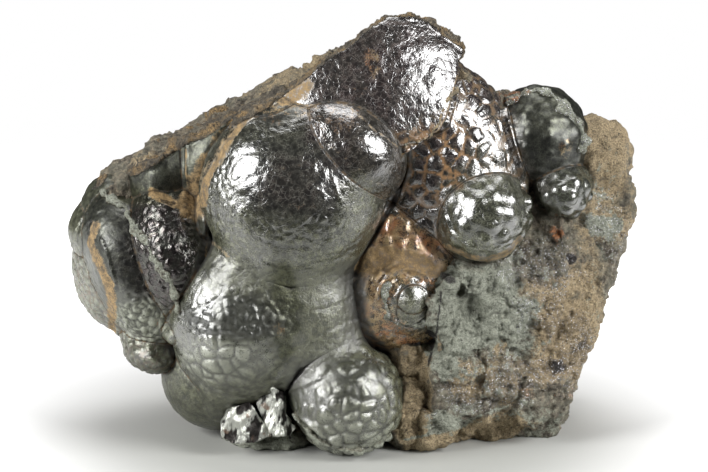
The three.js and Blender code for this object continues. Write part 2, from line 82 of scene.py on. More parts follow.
# The kidneys: middle, half axes, roll about Y and tilt about X in degrees, and breaks.
KIDNEYS = {
    "crown": ((2.5, -8, 59), (19.5, 10, 21), (10, -22),
              [UPPER_RIGHT, CROWN_LEFT, CROWN_TOP, CROWN_FOOT, CROWN_SIDE]),
    "collar": ((-0.8, -14, 52.6), (10.6, 10.6, 8.2), (35, -14), []),
    "great dome": ((-10.6, -15, 45.2), (15.8, 12, 15.6), (0, -8), FRACTURES),
    "brow": ((-12.2, -11, 56.2), (8.5, 8.8, 6), (25, 0), FRACTURES),
    "left hollow": ((-33.3, -3.4, 47), (6.3, 9, 8), (0, 0), FRACTURES),
    "right hollow": ((-24.3, -4, 49.8), (6.6, 9.5, 10), (25, 0), FRACTURES),
    "plum": ((-30.6, -8.5, 33.2), (8, 11.5, 12.8), (-14, -8), [PLUM_TOP]),
    "shell": ((-37.4, -5, 29), (8, 12, 15), (-24, 0), [SHELL_TOP]),
    "ear": ((-44.6, 2, 34.6), (5.8, 9, 5.7), (0, 0), []),
    "ear tip": ((-43.2, 2, 39.6), (4.6, 8, 4.6), (0, 0), [UPPER_LEFT]),
    "flank": ((-39.6, 3, 26.8), (10.2, 12, 12), (-20, 0), []),
    "knuckle": ((-34.8, -3, 15.2), (6.4, 12, 4.4), (10, 0), []),
    "bud": ((-30.1, -14, 20.5), (2.6, 5, 2.4), (0, 0), []),
    "lower dome": ((-19.3, -13.5, 22.7), (12.6, 12.5, 14.6), (0, -10), []),
    "olive": ((-24.5, -5, 10.8), (9.6, 12.5, 10.2), (0, 0), []),
    "pearl": ((-1, -17.5, 9.4), (9.6, 9.8, 9.7), (0, -10), [PEARL_TOP]),
    "bridge": ((-8, -12, 24.6), (10, 10.4, 11.6), (0, -8), []),
    "bowl": ((6.6, -8, 31.2), (13, 10.5, 15.8), (0, -14), []),
    "eye cup": ((9.3, -12.6, 25.9), (5.2, 6.6, 5.4), (0, 0), []),
    "eye": ((9.8, -15.6, 27.2), (2.9, 4.5, 3.1), (0, 0), []),
    "strip": ((-25.3, -12, 40.7), (1.6, 6, 3.8), (0, 0), []),
    "web": ((-25.6, -7, 31.5), (4.6, 7.5, 9), (-8, 0), []),
    "tear": ((15.6, -6, 48.4), (13.8, 11, 19), (-20, -5), [UPPER_RIGHT]),
    "tear drop": ((22, -12, 40.9), (8.2, 9.8, 8.2), (0, 0), []),
    "dark": ((32.8, -2, 52.2), (7.8, 10, 9), (-20, -10), []),
    "dark drop": ((36.1, -6, 44.1), (5, 8.6, 4.8), (0, 0), []),
}
# How many beads a kidney has, and their radius and how far they stand proud.
BEADS = {"dark": (44, 1.9, 0.35), "dark drop": (22, 1.5, 0.6), "tear drop": (50, 2.2, 0.55)}
BEADED_DEPTH = 1.1                 # in half axes of the kidney, from its front
BEAD_SIZES = (0.75, 1.25)          # least and most, times the radius
GOLDEN_PART, GOLDEN_ANGLE = 0.618, math.pi * (3 - math.sqrt(5))

# The pieces that the kidneys are made in, and the kidneys of each.
PIECES = {
    "domes": ["great dome", "brow", "collar", "lower dome", "olive", "pearl", "bridge"],
    "right_kidneys": ["crown", "tear", "tear drop", "bowl", "eye cup", "eye", "dark",
                      "dark drop"],
    "left_kidneys": ["left hollow", "right hollow", "strip", "plum", "shell", "ear", "ear tip",
                     "flank", "knuckle", "bud", "web"],
}
# Behind this depth the kidneys are hidden in the matrix, for each piece.
HIDDEN_FROM = {"domes": -3.5, "right_kidneys": 8.5, "left_kidneys": 16}
HIDDEN_MARGIN = 0.4

# How finely the balls are divided before the skin goes round them.
KIDNEY_DETAIL, LUMP_DETAIL, BEAD_DETAIL = 5, 4, 3
SETTLING_ROUNDS, SETTLING_STEP = 4, 0.6

VOXEL = {"kidneys": 0.34, "matrix": 0.62, "block": 0.34, "wedges": 0.2, "rims": 0.25}


def unit(vector):
    vector = np.asarray(vector, float)
    return vector / np.linalg.norm(vector)


def smooth(value, low, high):
    """0 below low, 1 above high, with an even curve between."""
    part = np.clip((value - low) / (high - low), 0, 1)
    return part * part * (3 - 2 * part)


def turned(roll, tilt):
    return np.array(Matrix.Rotation(math.radians(roll), 3, "Y")
                    @ Matrix.Rotation(math.radians(tilt), 3, "X"))


def kidney_balls():
    """Every kidney as its middle, half axes, turn and breaks."""
    return {
        name: (np.array(at, float), np.array(half, float), turned(*turn), cuts)
        for name, (at, half, turn, cuts) in KIDNEYS.items()
    }


def bead_balls():
    """The beads that crowd on some kidneys, for each of those."""
    balls = {}
    least, most = BEAD_SIZES
    for name, (count, radius, proud) in BEADS.items():
        at, half, turn, _ = BALLS[name]
        balls[name] = []
        for i in range(count):
            front = 1 - BEADED_DEPTH * (i + 0.5) / count
            around = i * GOLDEN_ANGLE
            reach = math.sqrt(1 - front * front)
            size = radius * (least + (most - least) * math.modf(i * GOLDEN_PART)[0])
            way = np.array([reach * math.cos(around), -front, reach * math.sin(around)])
            middle = at + turn @ (way * (half - size + proud))
            balls[name].append((middle, np.full(3, size), np.eye(3), []))
    return balls


BALLS = kidney_balls()
BEAD_BALLS = bead_balls()
KIDNEY_NAMES = list(KIDNEYS)
FAR = 9.0                          # gaps are worked out up to this far from a ball


def ball_field(points, ball):
    """How far points lie outside a ball, the way out of it, and how near they are to a break."""
    middle, half, turn, cuts = ball
    gap = np.full(len(points), FAR)
    way = np.zeros_like(points)
    broken = np.full(len(points), -FAR)
    near = np.linalg.norm(points - middle, axis=1) < half.max() + FAR / 2
    local = (points[near] - middle) @ turn
    first = np.linalg.norm(local / half, axis=1)
    steep = local / half ** 2
    second = np.maximum(np.linalg.norm(steep, axis=1), 1e-9)
    distance = first * (first - 1) / second
    out = (steep / second[:, None]) @ turn.T
    side = np.full(len(local), -FAR)
    for facing, through in cuts:
        normal = unit(facing)
        beyond = (points[near] - through) @ normal
        side = np.maximum(side, beyond)
        cut = beyond > distance
        out[cut] = normal
        distance = np.maximum(distance, beyond)
    gap[near] = distance
    way[near] = out
    broken[near] = side
    return gap, way, broken


SHARP_JOIN, SOFT_JOIN = 0.8, 2.0
BEAD_SOFTNESS = 0.2
LEAST_BEND = 0.35                  # keeps seams narrow where two kidneys run on almost level


def join_softness(points):
    """How softly kidneys run together: softest between the domes low in the middle."""
    middle = smooth(points[:, 0], -28, -24) * (1 - smooth(points[:, 0], 1, 5))
    return SHARP_JOIN + (SOFT_JOIN - SHARP_JOIN) * middle * (1 - smooth(points[:, 2], 33, 40))


def soft_union(gaps, softness):
    """Gaps to several shapes drawn into one, and each shape's share in it."""
    least = gaps.min(axis=0)
    shares = np.exp(-(gaps - least) / softness)
    total = shares.sum(axis=0)
    return least - softness * np.log(total), shares / total


def growth_field(points, names):
    """Some kidneys as one: distance outside them, the way out, shares and nearness to breaks."""
    gaps, ways, breaks = map(np.array, zip(*(ball_field(points, BALLS[name]) for name in names)))
    gap, shares = soft_union(gaps, join_softness(points))
    way = np.einsum("bn,bnc->nc", shares, ways)
    broken = np.einsum("bn,bn->n", shares, breaks)
    beads = [ball for name in names for ball in BEAD_BALLS.get(name, [])]
    if beads:
        bead_gaps, bead_ways, _ = map(np.array, zip(*(ball_field(points, b) for b in beads)))
        gap, parts = soft_union(np.vstack([gap[None], bead_gaps]), BEAD_SOFTNESS)
        way = np.einsum("bn,bnc->nc", parts, np.concatenate([way[None], bead_ways]))
    way /= np.maximum(np.linalg.norm(way, axis=1), 1e-9)[:, None]
    under = -points[:, 2] > gap
    way[under] = (0, 0, -1)
    return np.maximum(gap, -points[:, 2]), way, shares, broken


def seam_distance(points):
    """How far points on the kidneys lie from the nearest line where two of them meet."""
    gaps, ways, _ = map(np.array, zip(*(ball_field(points, ball) for ball in BALLS.values())))
    order = np.argsort(gaps, axis=0)[:2]
    each = np.arange(len(points))
    bend = np.linalg.norm(ways[order[1], each] - ways[order[0], each], axis=1)
    return (gaps[order[1], each] - gaps[order[0], each]) / np.maximum(bend, LEAST_BEND)


# ---------------------------------------------------------------- solids
def add_ball(solids, ball, detail):
    middle, half, turn, cuts = ball
    made = bmesh.ops.create_icosphere(solids, subdivisions=detail, radius=1)["verts"]
    place = Matrix.Translation(middle) @ Matrix(turn).to_4x4() @ Matrix.Diagonal((*half, 1))
    bmesh.ops.transform(solids, matrix=place, verts=made)
    for facing, through in cuts:
        faces = {face for vert in made for face in vert.link_faces}
        edges = {edge for vert in made for edge in vert.link_edges}
        cut = bmesh.ops.bisect_plane(
            solids, geom=[*made, *edges, *faces], dist=1e-5,
            plane_co=through, plane_no=facing, clear_outer=True,
        )
        rim = [item for item in cut["geom_cut"] if isinstance(item, bmesh.types.BMEdge)]
        if rim:
            bmesh.ops.holes_fill(solids, edges=rim)
        made = [v for v in cut["geom"] if isinstance(v, bmesh.types.BMVert) and v.is_valid]
        made += [v for v in cut["geom_cut"] if isinstance(v, bmesh.types.BMVert) and v.is_valid]
        made = list(set(made))
    return made


def bake_modifiers(piece):
    piece.data = bpy.data.meshes.new_from_object(
        piece.evaluated_get(bpy.context.evaluated_depsgraph_get()))
    piece.modifiers.clear()


def skin_round(solids, name, voxel):
    """One closed skin round solids that overlap, as a new object."""
    mesh = bpy.data.meshes.new(name)
    solids.to_mesh(mesh)
    solids.free()
    piece = bpy.data.objects.new(name, mesh)
    bpy.context.scene.collection.objects.link(piece)
    remesh = piece.modifiers.new("skin", "REMESH")
    remesh.mode = "VOXEL"
    remesh.voxel_size = voxel
    bake_modifiers(piece)
    return piece


def corners(piece):
    flat = np.empty(3 * len(piece.data.vertices))
    piece.data.vertices.foreach_get("co", flat)
    return flat.reshape(-1, 3)


def outward(piece):
    flat = np.empty(3 * len(piece.data.vertices))
    piece.data.vertex_normals.foreach_get("vector", flat)
    return flat.reshape(-1, 3)


def set_corners(piece, points):
    piece.data.vertices.foreach_set("co", points.ravel())
    piece.data.update()


def push_out(piece, move):
    """Moves each corner outwards, by its own amount, and none below the resting face."""
    points = corners(piece) + move[:, None] * outward(piece)
    points[:, 2] = np.maximum(points[:, 2], 0)
    set_corners(piece, points)


def make_kidneys(name):
    names = PIECES[name]
    solids = bmesh.new()
    for kidney in names:
        add_ball(solids, BALLS[kidney], KIDNEY_DETAIL)
        for bead in BEAD_BALLS.get(kidney, []):
            add_ball(solids, bead, BEAD_DETAIL)
    plane_cut(solids, (0, 1, 0), (0, HIDDEN_FROM[name], 0))
    piece = skin_round(solids, name, VOXEL["kidneys"])
    points = corners(piece)
    for _ in range(SETTLING_ROUNDS):
        gap, way, _, _ = growth_field(points, names)
        kept = points[:, 1] < HIDDEN_FROM[name] - HIDDEN_MARGIN
        step = np.clip(gap, -SETTLING_STEP, SETTLING_STEP)
        points[kept] -= (step[:, None] * way)[kept]
    set_corners(piece, points)
    return piece


# ---------------------------------------------------------------- marks drawn on the sheet
PATCH_SOFTNESS = 0.4


def patch(sheet, mark, ragged=0.0):
    """Cover of a soft oval: its middle, its half sizes across and down, and its turn."""
    across, down, wide, high, turn = mark
    angle = math.radians(turn)
    right, below = (sheet - (across, down)).T
    along = (right * math.cos(angle) + below * math.sin(angle)) / wide
    beside = (below * math.cos(angle) - right * math.sin(angle)) / high
    reach = np.hypot(along, beside) + ragged
    return 1 - smooth(reach, 1 - PATCH_SOFTNESS, 1 + PATCH_SOFTNESS)


def line_gap(sheet, line):
    """How far each point of the sheet lies from a drawn line."""
    least = np.full(len(sheet), 1e9)
    for start, end in zip(line, line[1:]):
        start, run = np.array(start, float), np.subtract(end, start).astype(float)
        part = np.clip((sheet - start) @ run / (run @ run), 0, 1)
        least = np.minimum(least, np.linalg.norm(sheet - start - part[:, None] * run, axis=1))
    return least


def grain(points, size, seed=0.0, octaves=3, stretch=(1, 1, 1)):
    """Cloudy chance values from about -1 to 1, with lumps of the given size."""
    places = (points / np.multiply(stretch, size) + seed).tolist()
    return np.array([noise.fractal(place, 1.0, 2.0, octaves) for place in places])


def cells(points, size, seed=0.0):
    """How deep each point lies inside its cell, 0 on the cell's edge, and a chance value a cell."""
    places = (points / size + seed).tolist()
    found = [noise.voronoi(place) for place in places]
    depth = np.array([gaps[1] - gaps[0] for gaps, _ in found])
    heart = np.array([tuple(hearts[0]) for _, hearts in found])
    chance = np.modf(np.abs(np.sin(heart @ (12.9, 78.2, 37.7)) * 437.5))[0]
    return depth, chance


def add_masks(piece, masks):
    for name, values in masks.items():
        layer = piece.data.attributes.new(name, "FLOAT", "POINT")
        layer.data.foreach_set("value", np.clip(values, 0, 1).astype(np.float32))


def facing_front(normals):
    """1 where the stone faces the sheet, 0 where it faces away."""
    return smooth(-(normals @ SIGHT), -0.1, 0.15)


# ---------------------------------------------------------------- the relief of a break
# How the layers of the stone lie at the upper left, and how long and thick they are.
LAYERS = turned(-30, 4)
LAYER_SHAPE = (9, 6, 0.9)


def layering(points):
    """Thin layers that stand out where the stone is broken across them, at the upper left."""
    layered = smooth(-points[:, 0], -6, 6) * smooth(points[:, 2], 30, 40)
    return 0.7 * layered * grain(points @ LAYERS, 1, 3.7, 3, LAYER_SHAPE)


def break_relief(points, broad, middling, fine, steps):
    """Heights of the lumps, grains and steps of a broken face."""
    move = broad * grain(points, 8, 1.3, 3) + middling * grain(points, 2.6, 6.1, 4)
    move += fine * (1 - 2 * np.abs(grain(points, 1.7, 9.2, 3)))
    for size, share in ((3.6, 0.6), (1.6, 0.4)):
        bent = points + 0.5 * size * grain(points, 0.6 * size, 3.3, 2)[:, None]
        depth, chance = cells(bent, size, 2.7)
        move += share * steps * (chance - 0.5) * smooth(depth, 0, 0.12)
    return move


# ---------------------------------------------------------------- finish of the kidneys
# Each kidney's film of grey-green dust, plum tarnish, ochre, rust, satin, its scales' height
# and size in millimetres, and the rust in the grooves between them.
FINISH = {
    "crown": (0.0, 0.9, 0.0, 0.05, 0.0, 0.03, 1.5, 0.0),
    "collar": (0.05, 0.7, 0.0, 0.08, 0.15, 0.03, 1.5, 0.1),
    "great dome": (0.14, 0.25, 0.0, 0.03, 0.1, 0.03, 1.5, 0.0),
    "brow": (0.15, 0.6, 0.1, 0.1, 0.8, 0.03, 1.5, 0.1),
    "left hollow": (0.25, 0.0, 0.0, 0.0, 1.0, 0.0, 1.5, 0.0),
    "right hollow": (0.25, 0.0, 0.1, 0.0, 1.0, 0.0, 1.5, 0.0),
    "plum": (0.0, 1.0, 0.0, 0.0, 0.95, 0.11, 1.6, 0.0),
    "shell": (0.1, 0.0, 0.0, 0.0, 0.9, 0.03, 1.5, 0.0),
    "ear": (0.8, 0.0, 0.0, 0.0, 0.4, 0.03, 1.4, 0.0),
    "ear tip": (0.7, 0.0, 0.2, 0.0, 0.5, 0.05, 1.4, 0.0),
    "flank": (0.85, 0.0, 0.05, 0.0, 0.3, 0.05, 1.4, 0.2),
    "knuckle": (0.7, 0.0, 0.15, 0.0, 0.5, 0.12, 1.5, 0.1),
    "bud": (0.8, 0.0, 0.0, 0.0, 0.3, 0.05, 1.4, 0.0),
    "lower dome": (0.35, 0.0, 0.0, 0.0, 0.1, 0.03, 1.5, 0.0),
    "olive": (0.6, 0.0, 0.1, 0.0, 0.6, 0.03, 1.4, 0.0),
    "pearl": (0.3, 0.0, 0.0, 0.0, 0.1, 0.13, 2.8, 0.0),
    "bridge": (0.7, 0.0, 0.0, 0.0, 0.4, 0.03, 1.5, 0.0),
    "bowl": (0.1, 0.2, 0.3, 0.9, 0.0, 0.1, 2.8, 0.4),
    "eye cup": (0.5, 0.0, 0.2, 0.1, 0.0, 0.02, 1.4, 0.0),
    "eye": (0.5, 0.0, 0.0, 0.0, 0.0, 0.02, 1.4, 0.0),
    "strip": (0.4, 0.0, 0.0, 0.0, 0.5, 0.05, 1.4, 0.0),
    "web": (0.5, 0.0, 0.3, 0.0, 0.5, 0.04, 1.4, 0.0),
    "tear": (0.0, 0.85, 0.0, 0.05, 0.0, 0.14, 2.8, 0.25),
    "tear drop": (0.25, 0.1, 0.0, 0.05, 0.0, 0.0, 2.1, 0.1),
    "dark": (0.05, 0.0, 0.0, 0.0, 1.0, 0.02, 1.4, 0.0),
    "dark drop": (0.15, 0.0, 0.0, 0.0, 0.1, 0.02, 1.4, 0.0),
}


# What is drawn on the sheet for each piece. Grooves and ridges: line, half width, and depth or
# height in millimetres. Scales: where, their size, and how much higher they are. Patches, for
# each mask: middle, half sizes, turn, and how much. Lines: mask, line, half width and how much.
MARKS = {
    "domes": {
        "scales": [
            ((240, 318, 52, 24, 0), 1.5, 0.1),
            ((225, 362, 44, 26, 0), 2.8, 0.14),
            ((345, 434, 60, 34, 0), 2.8, 0.14),
            ((305, 235, 50, 20, 8), 1.5, 0.06),
            ((220, 200, 18, 40, -15), 1.5, 0.05),
        ],
        "ridges": [
            ([(297, 412), (312, 428), (330, 440), (350, 452), (375, 447), (398, 438)], 3.5, 0.5),
            ([(299, 227), (309, 216), (315, 210), (323, 216), (331, 226)], 1.6, 0.25),
            ([(309, 201), (309, 193), (316, 189), (323, 193), (324, 202), (320, 208)], 1.5, 0.2),
            ([(334, 179), (336, 189), (341, 202)], 1.5, 0.18),
            ([(315, 163), (313, 176)], 1.5, 0.15),
            ([(310, 243), (318, 238), (326, 242)], 1.6, 0.2),
            ([(280, 218), (291, 208), (298, 200)], 1.6, 0.18),
            ([(262, 262), (275, 268), (292, 270), (310, 266)], 2, 0.2),
        ],
        "patches": {
            "film": [
                (285, 250, 92, 40, 4, 0.35), (225, 215, 22, 42, -15, 0.35),
                (352, 225, 14, 40, 35, 0.4), (310, 300, 36, 52, 0, 0.3),
                (262, 290, 36, 24, 20, 0.3), (235, 378, 56, 30, 8, 0.4),
                (240, 318, 50, 22, 0, -0.6), (345, 432, 60, 26, 0, 0.5),
                (225, 362, 44, 24, 0, 0.3), (222, 270, 18, 16, 0, -0.2),
                (296, 186, 50, 44, 0, -0.3), (390, 400, 14, 34, 0, 0.5),
                (352, 345, 36, 13, 0, 1.0), (312, 352, 16, 10, 0, 0.5),
                # the next patch, on the great dome's right, is pale dust laid partly as a painted
                # highlight
                (356, 192, 16, 22, 30, 0.5),
            ],
            # pale: pale dust on the low scales of the lower dome and the pearl, and a painted
            # reflection of the floor there
            "pale": [
                (222, 362, 44, 22, 0, 0.7), (345, 436, 60, 26, 0, 0.5),
            ],
            "plum": [
                (330, 120, 24, 26, 0, 0.5), (300, 185, 44, 30, 0, 0.3),
            ],
            "ochre": [
                (286, 100, 22, 5, -24, 0.5), (306, 96, 8, 14, 10, 0.7),
                (295, 94, 15, 9, -30, 0.9), (222, 150, 7, 44, 32, 0.7),
                (300, 345, 18, 26, 0, 0.2),
            ],
            "satin": [
                (282, 112, 24, 12, -10, 0.6), (240, 318, 50, 22, 0, 0.5),
                (222, 272, 22, 18, -20, 0.45), (352, 385, 34, 26, 0, 0.5),
                (282, 310, 16, 50, 0, 0.9), (220, 385, 70, 24, 0, 0.3),
            ],
            "rust": [
                (300, 205, 22, 9, 0, 0.25), (292, 170, 16, 8, 0, 0.22),
                (335, 118, 26, 22, 0, 0.3), (288, 108, 30, 12, -20, 0.35),
                (283, 418, 6, 4, 0, 0.7), (278, 330, 8, 10, 0, 0.4),
            ],
        },
        "lines": [
            ("ochre", [(262, 107), (243, 122), (228, 142), (214, 164), (205, 186), (203, 205)],
             4, 1.0),
            ("ochre", [(306, 88), (302, 104), (284, 109), (264, 112)], 1.8, 0.6),
            ("ochre", [(306, 98), (325, 98), (345, 104), (360, 116), (376, 131), (398, 147)],
             1.5, 0.6),
            ("ochre", [(304, 97), (312, 120), (330, 147), (352, 163), (372, 180), (384, 186)],
             1.2, 0.5),
            ("film", [(205, 215), (209, 232), (240, 258), (285, 276)], 4, 0.6),
            ("ochre", [(210, 242), (228, 256)], 2.5, 0.6),
        ],
    },
    "right_kidneys": {
        "grooves": [
            ([(399, 148), (410, 146), (425, 143), (440, 133), (448, 118), (453, 98), (463, 74)],
             2.5, 0.7),
            ([(402, 150), (403, 172), (396, 196), (380, 224), (362, 252), (354, 276)], 4, 1.3),
            ([(503, 85), (504, 115), (513, 150), (520, 170), (527, 195), (530, 215)], 3.5, 1.2),
            ([(383, 292), (388, 283), (396, 277), (408, 274), (420, 280)], 2, 0.5),
        ],
        "scales": [
            ((430, 160, 44, 40, -30), 2.8, 0.04),
            ((385, 215, 40, 26, 0), 2.8, 0.07),
            ((350, 290, 16, 40, 0), 2.8, 0.05),
        ],
        "ridges": [
            ([(378, 300), (382, 284), (392, 272), (408, 268), (424, 274), (434, 288)], 2.5, 0.7),
            ([(376, 281), (380, 273)], 5, 0.9),
            ([(387, 268), (394, 264)], 4, 0.8),
            ([(386, 312), (396, 322), (412, 324), (426, 314)], 2, 0.5),
            ([(396, 298), (402, 287), (414, 283), (426, 290), (428, 302)], 1.6, 0.35),
            ([(445, 214), (452, 232), (470, 247), (492, 250), (512, 242)], 2, 0.25),
        ],
        "patches": {
            "plum": [
                (410, 90, 60, 60, -30, 0.25), (425, 205, 22, 30, 20, 0.5),
                (368, 300, 12, 30, 10, 0.5),
            ],
            "rust": [
                (372, 62, 9, 16, 0, 0.45), (360, 92, 10, 8, 0, 0.3), (376, 232, 34, 18, 0, 0.5),
                (410, 245, 42, 16, 10, 0.5), (362, 262, 26, 20, -30, 0.5),
                (372, 200, 30, 20, 0, -0.4), (566, 148, 8, 14, 0, 0.5),
            ],
            "ochre": [
                (297, 91, 17, 10, -35, 0.9), (376, 262, 26, 14, -10, 1.1),
                (408, 262, 34, 11, 15, 0.9), (440, 160, 30, 10, -50, 0.3),
            ],
            "rusty": [
                (425, 158, 44, 40, -30, 0.5), (350, 290, 16, 40, 0, -0.5),
            ],
            "film": [
                (486, 164, 20, 26, 0, 0.25), (350, 300, 12, 30, 0, 0.5),
                (356, 243, 9, 30, 35, 0.7), (452, 190, 14, 22, 20, 0.3),
                (478, 247, 34, 10, 8, 0.5), (400, 312, 26, 14, 0, 0.4),
                (544, 110, 26, 24, 20, 0.2),
            ],
        },
        "lines": [
            ("ochre", [(400, 148), (420, 144), (437, 132), (447, 114), (451, 97), (458, 76)],
             1.6, 0.8),
            ("ochre", [(450, 246), (468, 256), (488, 260), (508, 252), (520, 238)], 4, 0.8),
            ("ochre", [(340, 290), (345, 312), (350, 330)], 3, 0.5),
        ],
    },
    "left_kidneys": {
        "scales": [
            ((137, 318, 26, 24, 0), 1.5, 0.14),
            ((85, 290, 14, 44, -12), 1.5, 0.06),
            ((178, 268, 24, 36, 0), 1.6, 0.05),
        ],
        "ridges": [
            ([(187, 146), (187, 172), (190, 190)], 1.5, 0.3),
            ([(72, 246), (75, 232), (82, 217), (92, 206), (98, 212)], 1.3, 0.2),
            ([(78, 244), (81, 232), (87, 221), (93, 218), (94, 228), (88, 242)], 1.2, 0.2),
            ([(103, 240), (108, 252), (111, 266), (116, 284)], 1.6, 0.45),
        ],
        "patches": {
            "satin": [
                (150, 250, 26, 60, -12, 0.1), (160, 240, 20, 34, -10, 0.6),
                (165, 208, 26, 10, 0, 0.7),
            ],
            "plum": [
                (140, 270, 20, 50, -14, 0.3),
            ],
            "ochre": [
                (210, 168, 13, 50, 30, 1.0), (194, 205, 20, 14, 0, 1.0),
            ],
            "film": [
                (145, 262, 18, 46, -16, -0.2), (145, 196, 36, 10, 0, 0.6),
                (140, 322, 26, 20, 0, 0.9),
            ],
            "rust": [
                (96, 258, 5, 18, -15, 0.5), (150, 235, 12, 16, 0, 0.3), (194, 207, 10, 8, 0, 0.8),
                (158, 322, 5, 5, 0, 0.4),
            ],
            # pale: pale dust on the low scales of the shell and on the flank, and a painted
            # reflection of the floor there
            "pale": [
                (138, 322, 26, 22, 0, 1.0), (85, 290, 16, 46, -12, 0.35),
            ],
        },
        "lines": [
            ("ochre", [(236, 120), (222, 142), (210, 166), (203, 190), (196, 212)], 7, 1.1),
            ("ochre", [(192, 210), (172, 203), (152, 192)], 6, 1.0),
            ("ochre", [(187, 150), (187, 172), (190, 190)], 1.4, 0.8),
            ("ochre", [(96, 225), (92, 244), (100, 262), (108, 285), (112, 310), (112, 333)],
             5.5, 0.95),
            ("ochre", [(208, 240), (206, 270), (202, 290), (196, 312)], 2, 0.7),
        ],
    },
}
SCALE_SIZES = (1.5, 2.8)
CRACK_DEPTH, CRACK_HALF = 0.14, 0.24   # depth and half width of the cracks where kidneys meet
KIDNEY_REACHES, STONE_REACHES = (0.5, 1.2, 2.4), (0.6, 1.5, 3.0)   # where creases are felt for


def paint(masks, sheet, frontal, ragged, patches, lines):
    """Adds patches and lines drawn on the sheet to the masks they name."""
    for name, ovals in patches.items():
        for *mark, amount in ovals:
            masks[name] = masks[name] + amount * patch(sheet, mark, ragged) * frontal
    for name, line, half, amount in lines:
        gap = line_gap(sheet, line) / half + ragged
        masks[name] = np.maximum(masks[name], amount * (1 - smooth(gap, 0.5, 1.3)) * frontal)


def filled_nearby(points, normals, reaches):
    """How much of the space just outside a surface the kidneys fill."""
    filled = np.zeros(len(points))
    for reach in reaches:
        gap = growth_field(points + reach * normals, KIDNEY_NAMES)[0]
        filled += (1 - np.clip(gap / reach, 0, 1)) / len(reaches)
    return filled


def finish_kidneys(piece):
    names = PIECES[piece.name]
    marks = MARKS[piece.name]
    points = corners(piece)
    _, _, shares, broken = growth_field(points, names)
    normals = outward(piece)
    sheet = on_sheet(points)
    frontal = facing_front(normals)
    rows = shares.T @ np.array([FINISH[name] for name in names])
    film, plum, ochre, rust, satin, scale_height, scale_size, rusty = rows.T
    open_face = smooth(broken, -0.3, -0.05)

    # painted shade: how much the kidneys close round each point, to darken the skin in its creases
    crease = filled_nearby(points, normals, KIDNEY_REACHES)
    seam = np.exp(-(seam_distance(points) / CRACK_HALF) ** 2)

    for mark, size, height in marks["scales"]:
        share = patch(sheet, mark) * frontal
        scale_height = scale_height + height * share
        scale_size = scale_size + (size - scale_size) * np.minimum(share, 1)

    move = 0.35 * grain(points, 9, 3.1, 2) + 0.14 * grain(points, 3.5, 8.4, 2)
    sharp = 1 - smooth(join_softness(points), SHARP_JOIN + 0.1, SHARP_JOIN + 0.8)
    move -= CRACK_DEPTH * seam * sharp
    for line, half, depth in marks.get("grooves", []):
        move -= depth * (1 - smooth(line_gap(sheet, line), 0, half)) * frontal
    for line, half, height in marks["ridges"]:
        move += height * (1 - smooth(line_gap(sheet, line), 0, half)) * frontal
    bent = points + 0.3 * grain(points, 1.6, 4.4, 1)[:, None]
    edge = np.zeros(len(points))
    for size in SCALE_SIZES:
        depth, chance = cells(bent, size, 5.5)
        close = np.clip(1 - np.abs(scale_size - size) / 1.3, 0, 1)
        move += close * scale_height * (2 * smooth(depth, 0, 0.45) - 1 + 0.3 * chance)
        edge += close * smooth(scale_height, 0.02, 0.07) * (1 - smooth(depth, 0.02, 0.2))
    bare = open_face > 0
    relief = break_relief(points[bare], 0.6, 0.6, 0.3, 1.1) + layering(points[bare])
    move[bare] += open_face[bare] * relief
    push_out(piece, move * (points[:, 1] < HIDDEN_FROM[piece.name] - HIDDEN_MARGIN))

    masks = {"film": film, "plum": plum, "ochre": ochre, "rust": rust, "satin": satin,
             "rock": open_face, "rusty": rusty, "pale": np.zeros(len(points))}
    ragged = 0.35 * grain(corners(piece), 3, 2.2, 4)
    paint(masks, sheet, frontal, ragged, marks["patches"], marks["lines"])
    masks.update(crease=crease, seam=seam * sharp, edge=edge)
    add_masks(piece, masks)


# ---------------------------------------------------------------- the broken stone
MATRIX = ((0, 10, 34), (47, 17, 34), [
    ((0, -1, 0), (0, -7, 35)),
    ((0.12, 1, -0.1), (6, 27, 30)),
    ((-0.55, 0.8, 0.05), (-28, 22, 30)),
    ((0.7, 0.68, 0.1), (36, 19, 30)),
    ((0.1, 0.72, -0.68), (4, 23, 7)),
    ((-0.93, -0.28, 0.12), (-45, 4, 34)),
    ((-0.72, 0.1, -0.69), (-33, 4, 17)),
    ((-0.5, -0.02, 0.86), (-19.4, -12, 58.5)),
    ((-0.32, 0.6, 0.73), (-19.4, 5, 57.5)),
    ((0.3, 0.5, 0.81), (10, 2, 68)),
    ((0.1, 0.3, 0.95), (32.3, -2, 59.4)),
    ((0.6, 0.15, 0.79), (43, 0, 53.6)),
    ((0.93, 0.1, 0.3), (47, 0, 48.4)),
    ((0.94, 0.03, -0.33), (47.4, 0, 37)),
    ((0.3, -0.9, 0.3), (43, -5, 43)),
])
CREST = ((5, -1, 60), (14, 9, 9), [
    ((-0.55, 0.1, 0.83), (-4, 0, 65)),
    ((0.1, 0.45, 0.89), (6, 0, 68.8)),
    ((0.62, 0.2, 0.76), (16, 0, 65)),
    ((0, 0.98, 0.2), (5, 9, 60)),
    ((0, -1, 0), (5, -9, 60)),
    ((-1, 0.1, 0), (-10, 0, 58)),
    ((1, 0, 0), (20, 0, 58)),
    ((0, 0, -1), (5, 0, 50)),
])
BLOCK_FRONT = ((0.22, -0.97, -0.04), (25.1, -17, 19.6))
BLOCK_BACK = 8.5                   # behind this depth the block is hidden in the matrix
LOWER_RIGHT = ((28, -4, 18), (15, 13, 20), [
    BLOCK_FRONT,
    ((-0.98, -0.2, 0), (13.6, -17, 19.6)),
    ((-0.05, -0.84, 0.54), (30, -14.2, 35)),
    ((0.75, -0.45, 0.48), (43.5, -4, 34)),
    ((0, 0.3, 0.95), (30, -8.6, 44)),
    ((0.72, -0.69, 0.05), (39.5, -12.4, 24)),
    ((0.95, -0.1, -0.32), (42.2, -2, 18.5)),
    ((0.18, -0.78, -0.6), (9, -16.6, 1.8)),
    ((0, 1, 0), (28, 14, 18)),
    ((0.75, 0.66, 0), (41, 7, 18)),
    ((0, 0, -1), (28, 0, -4)),
])
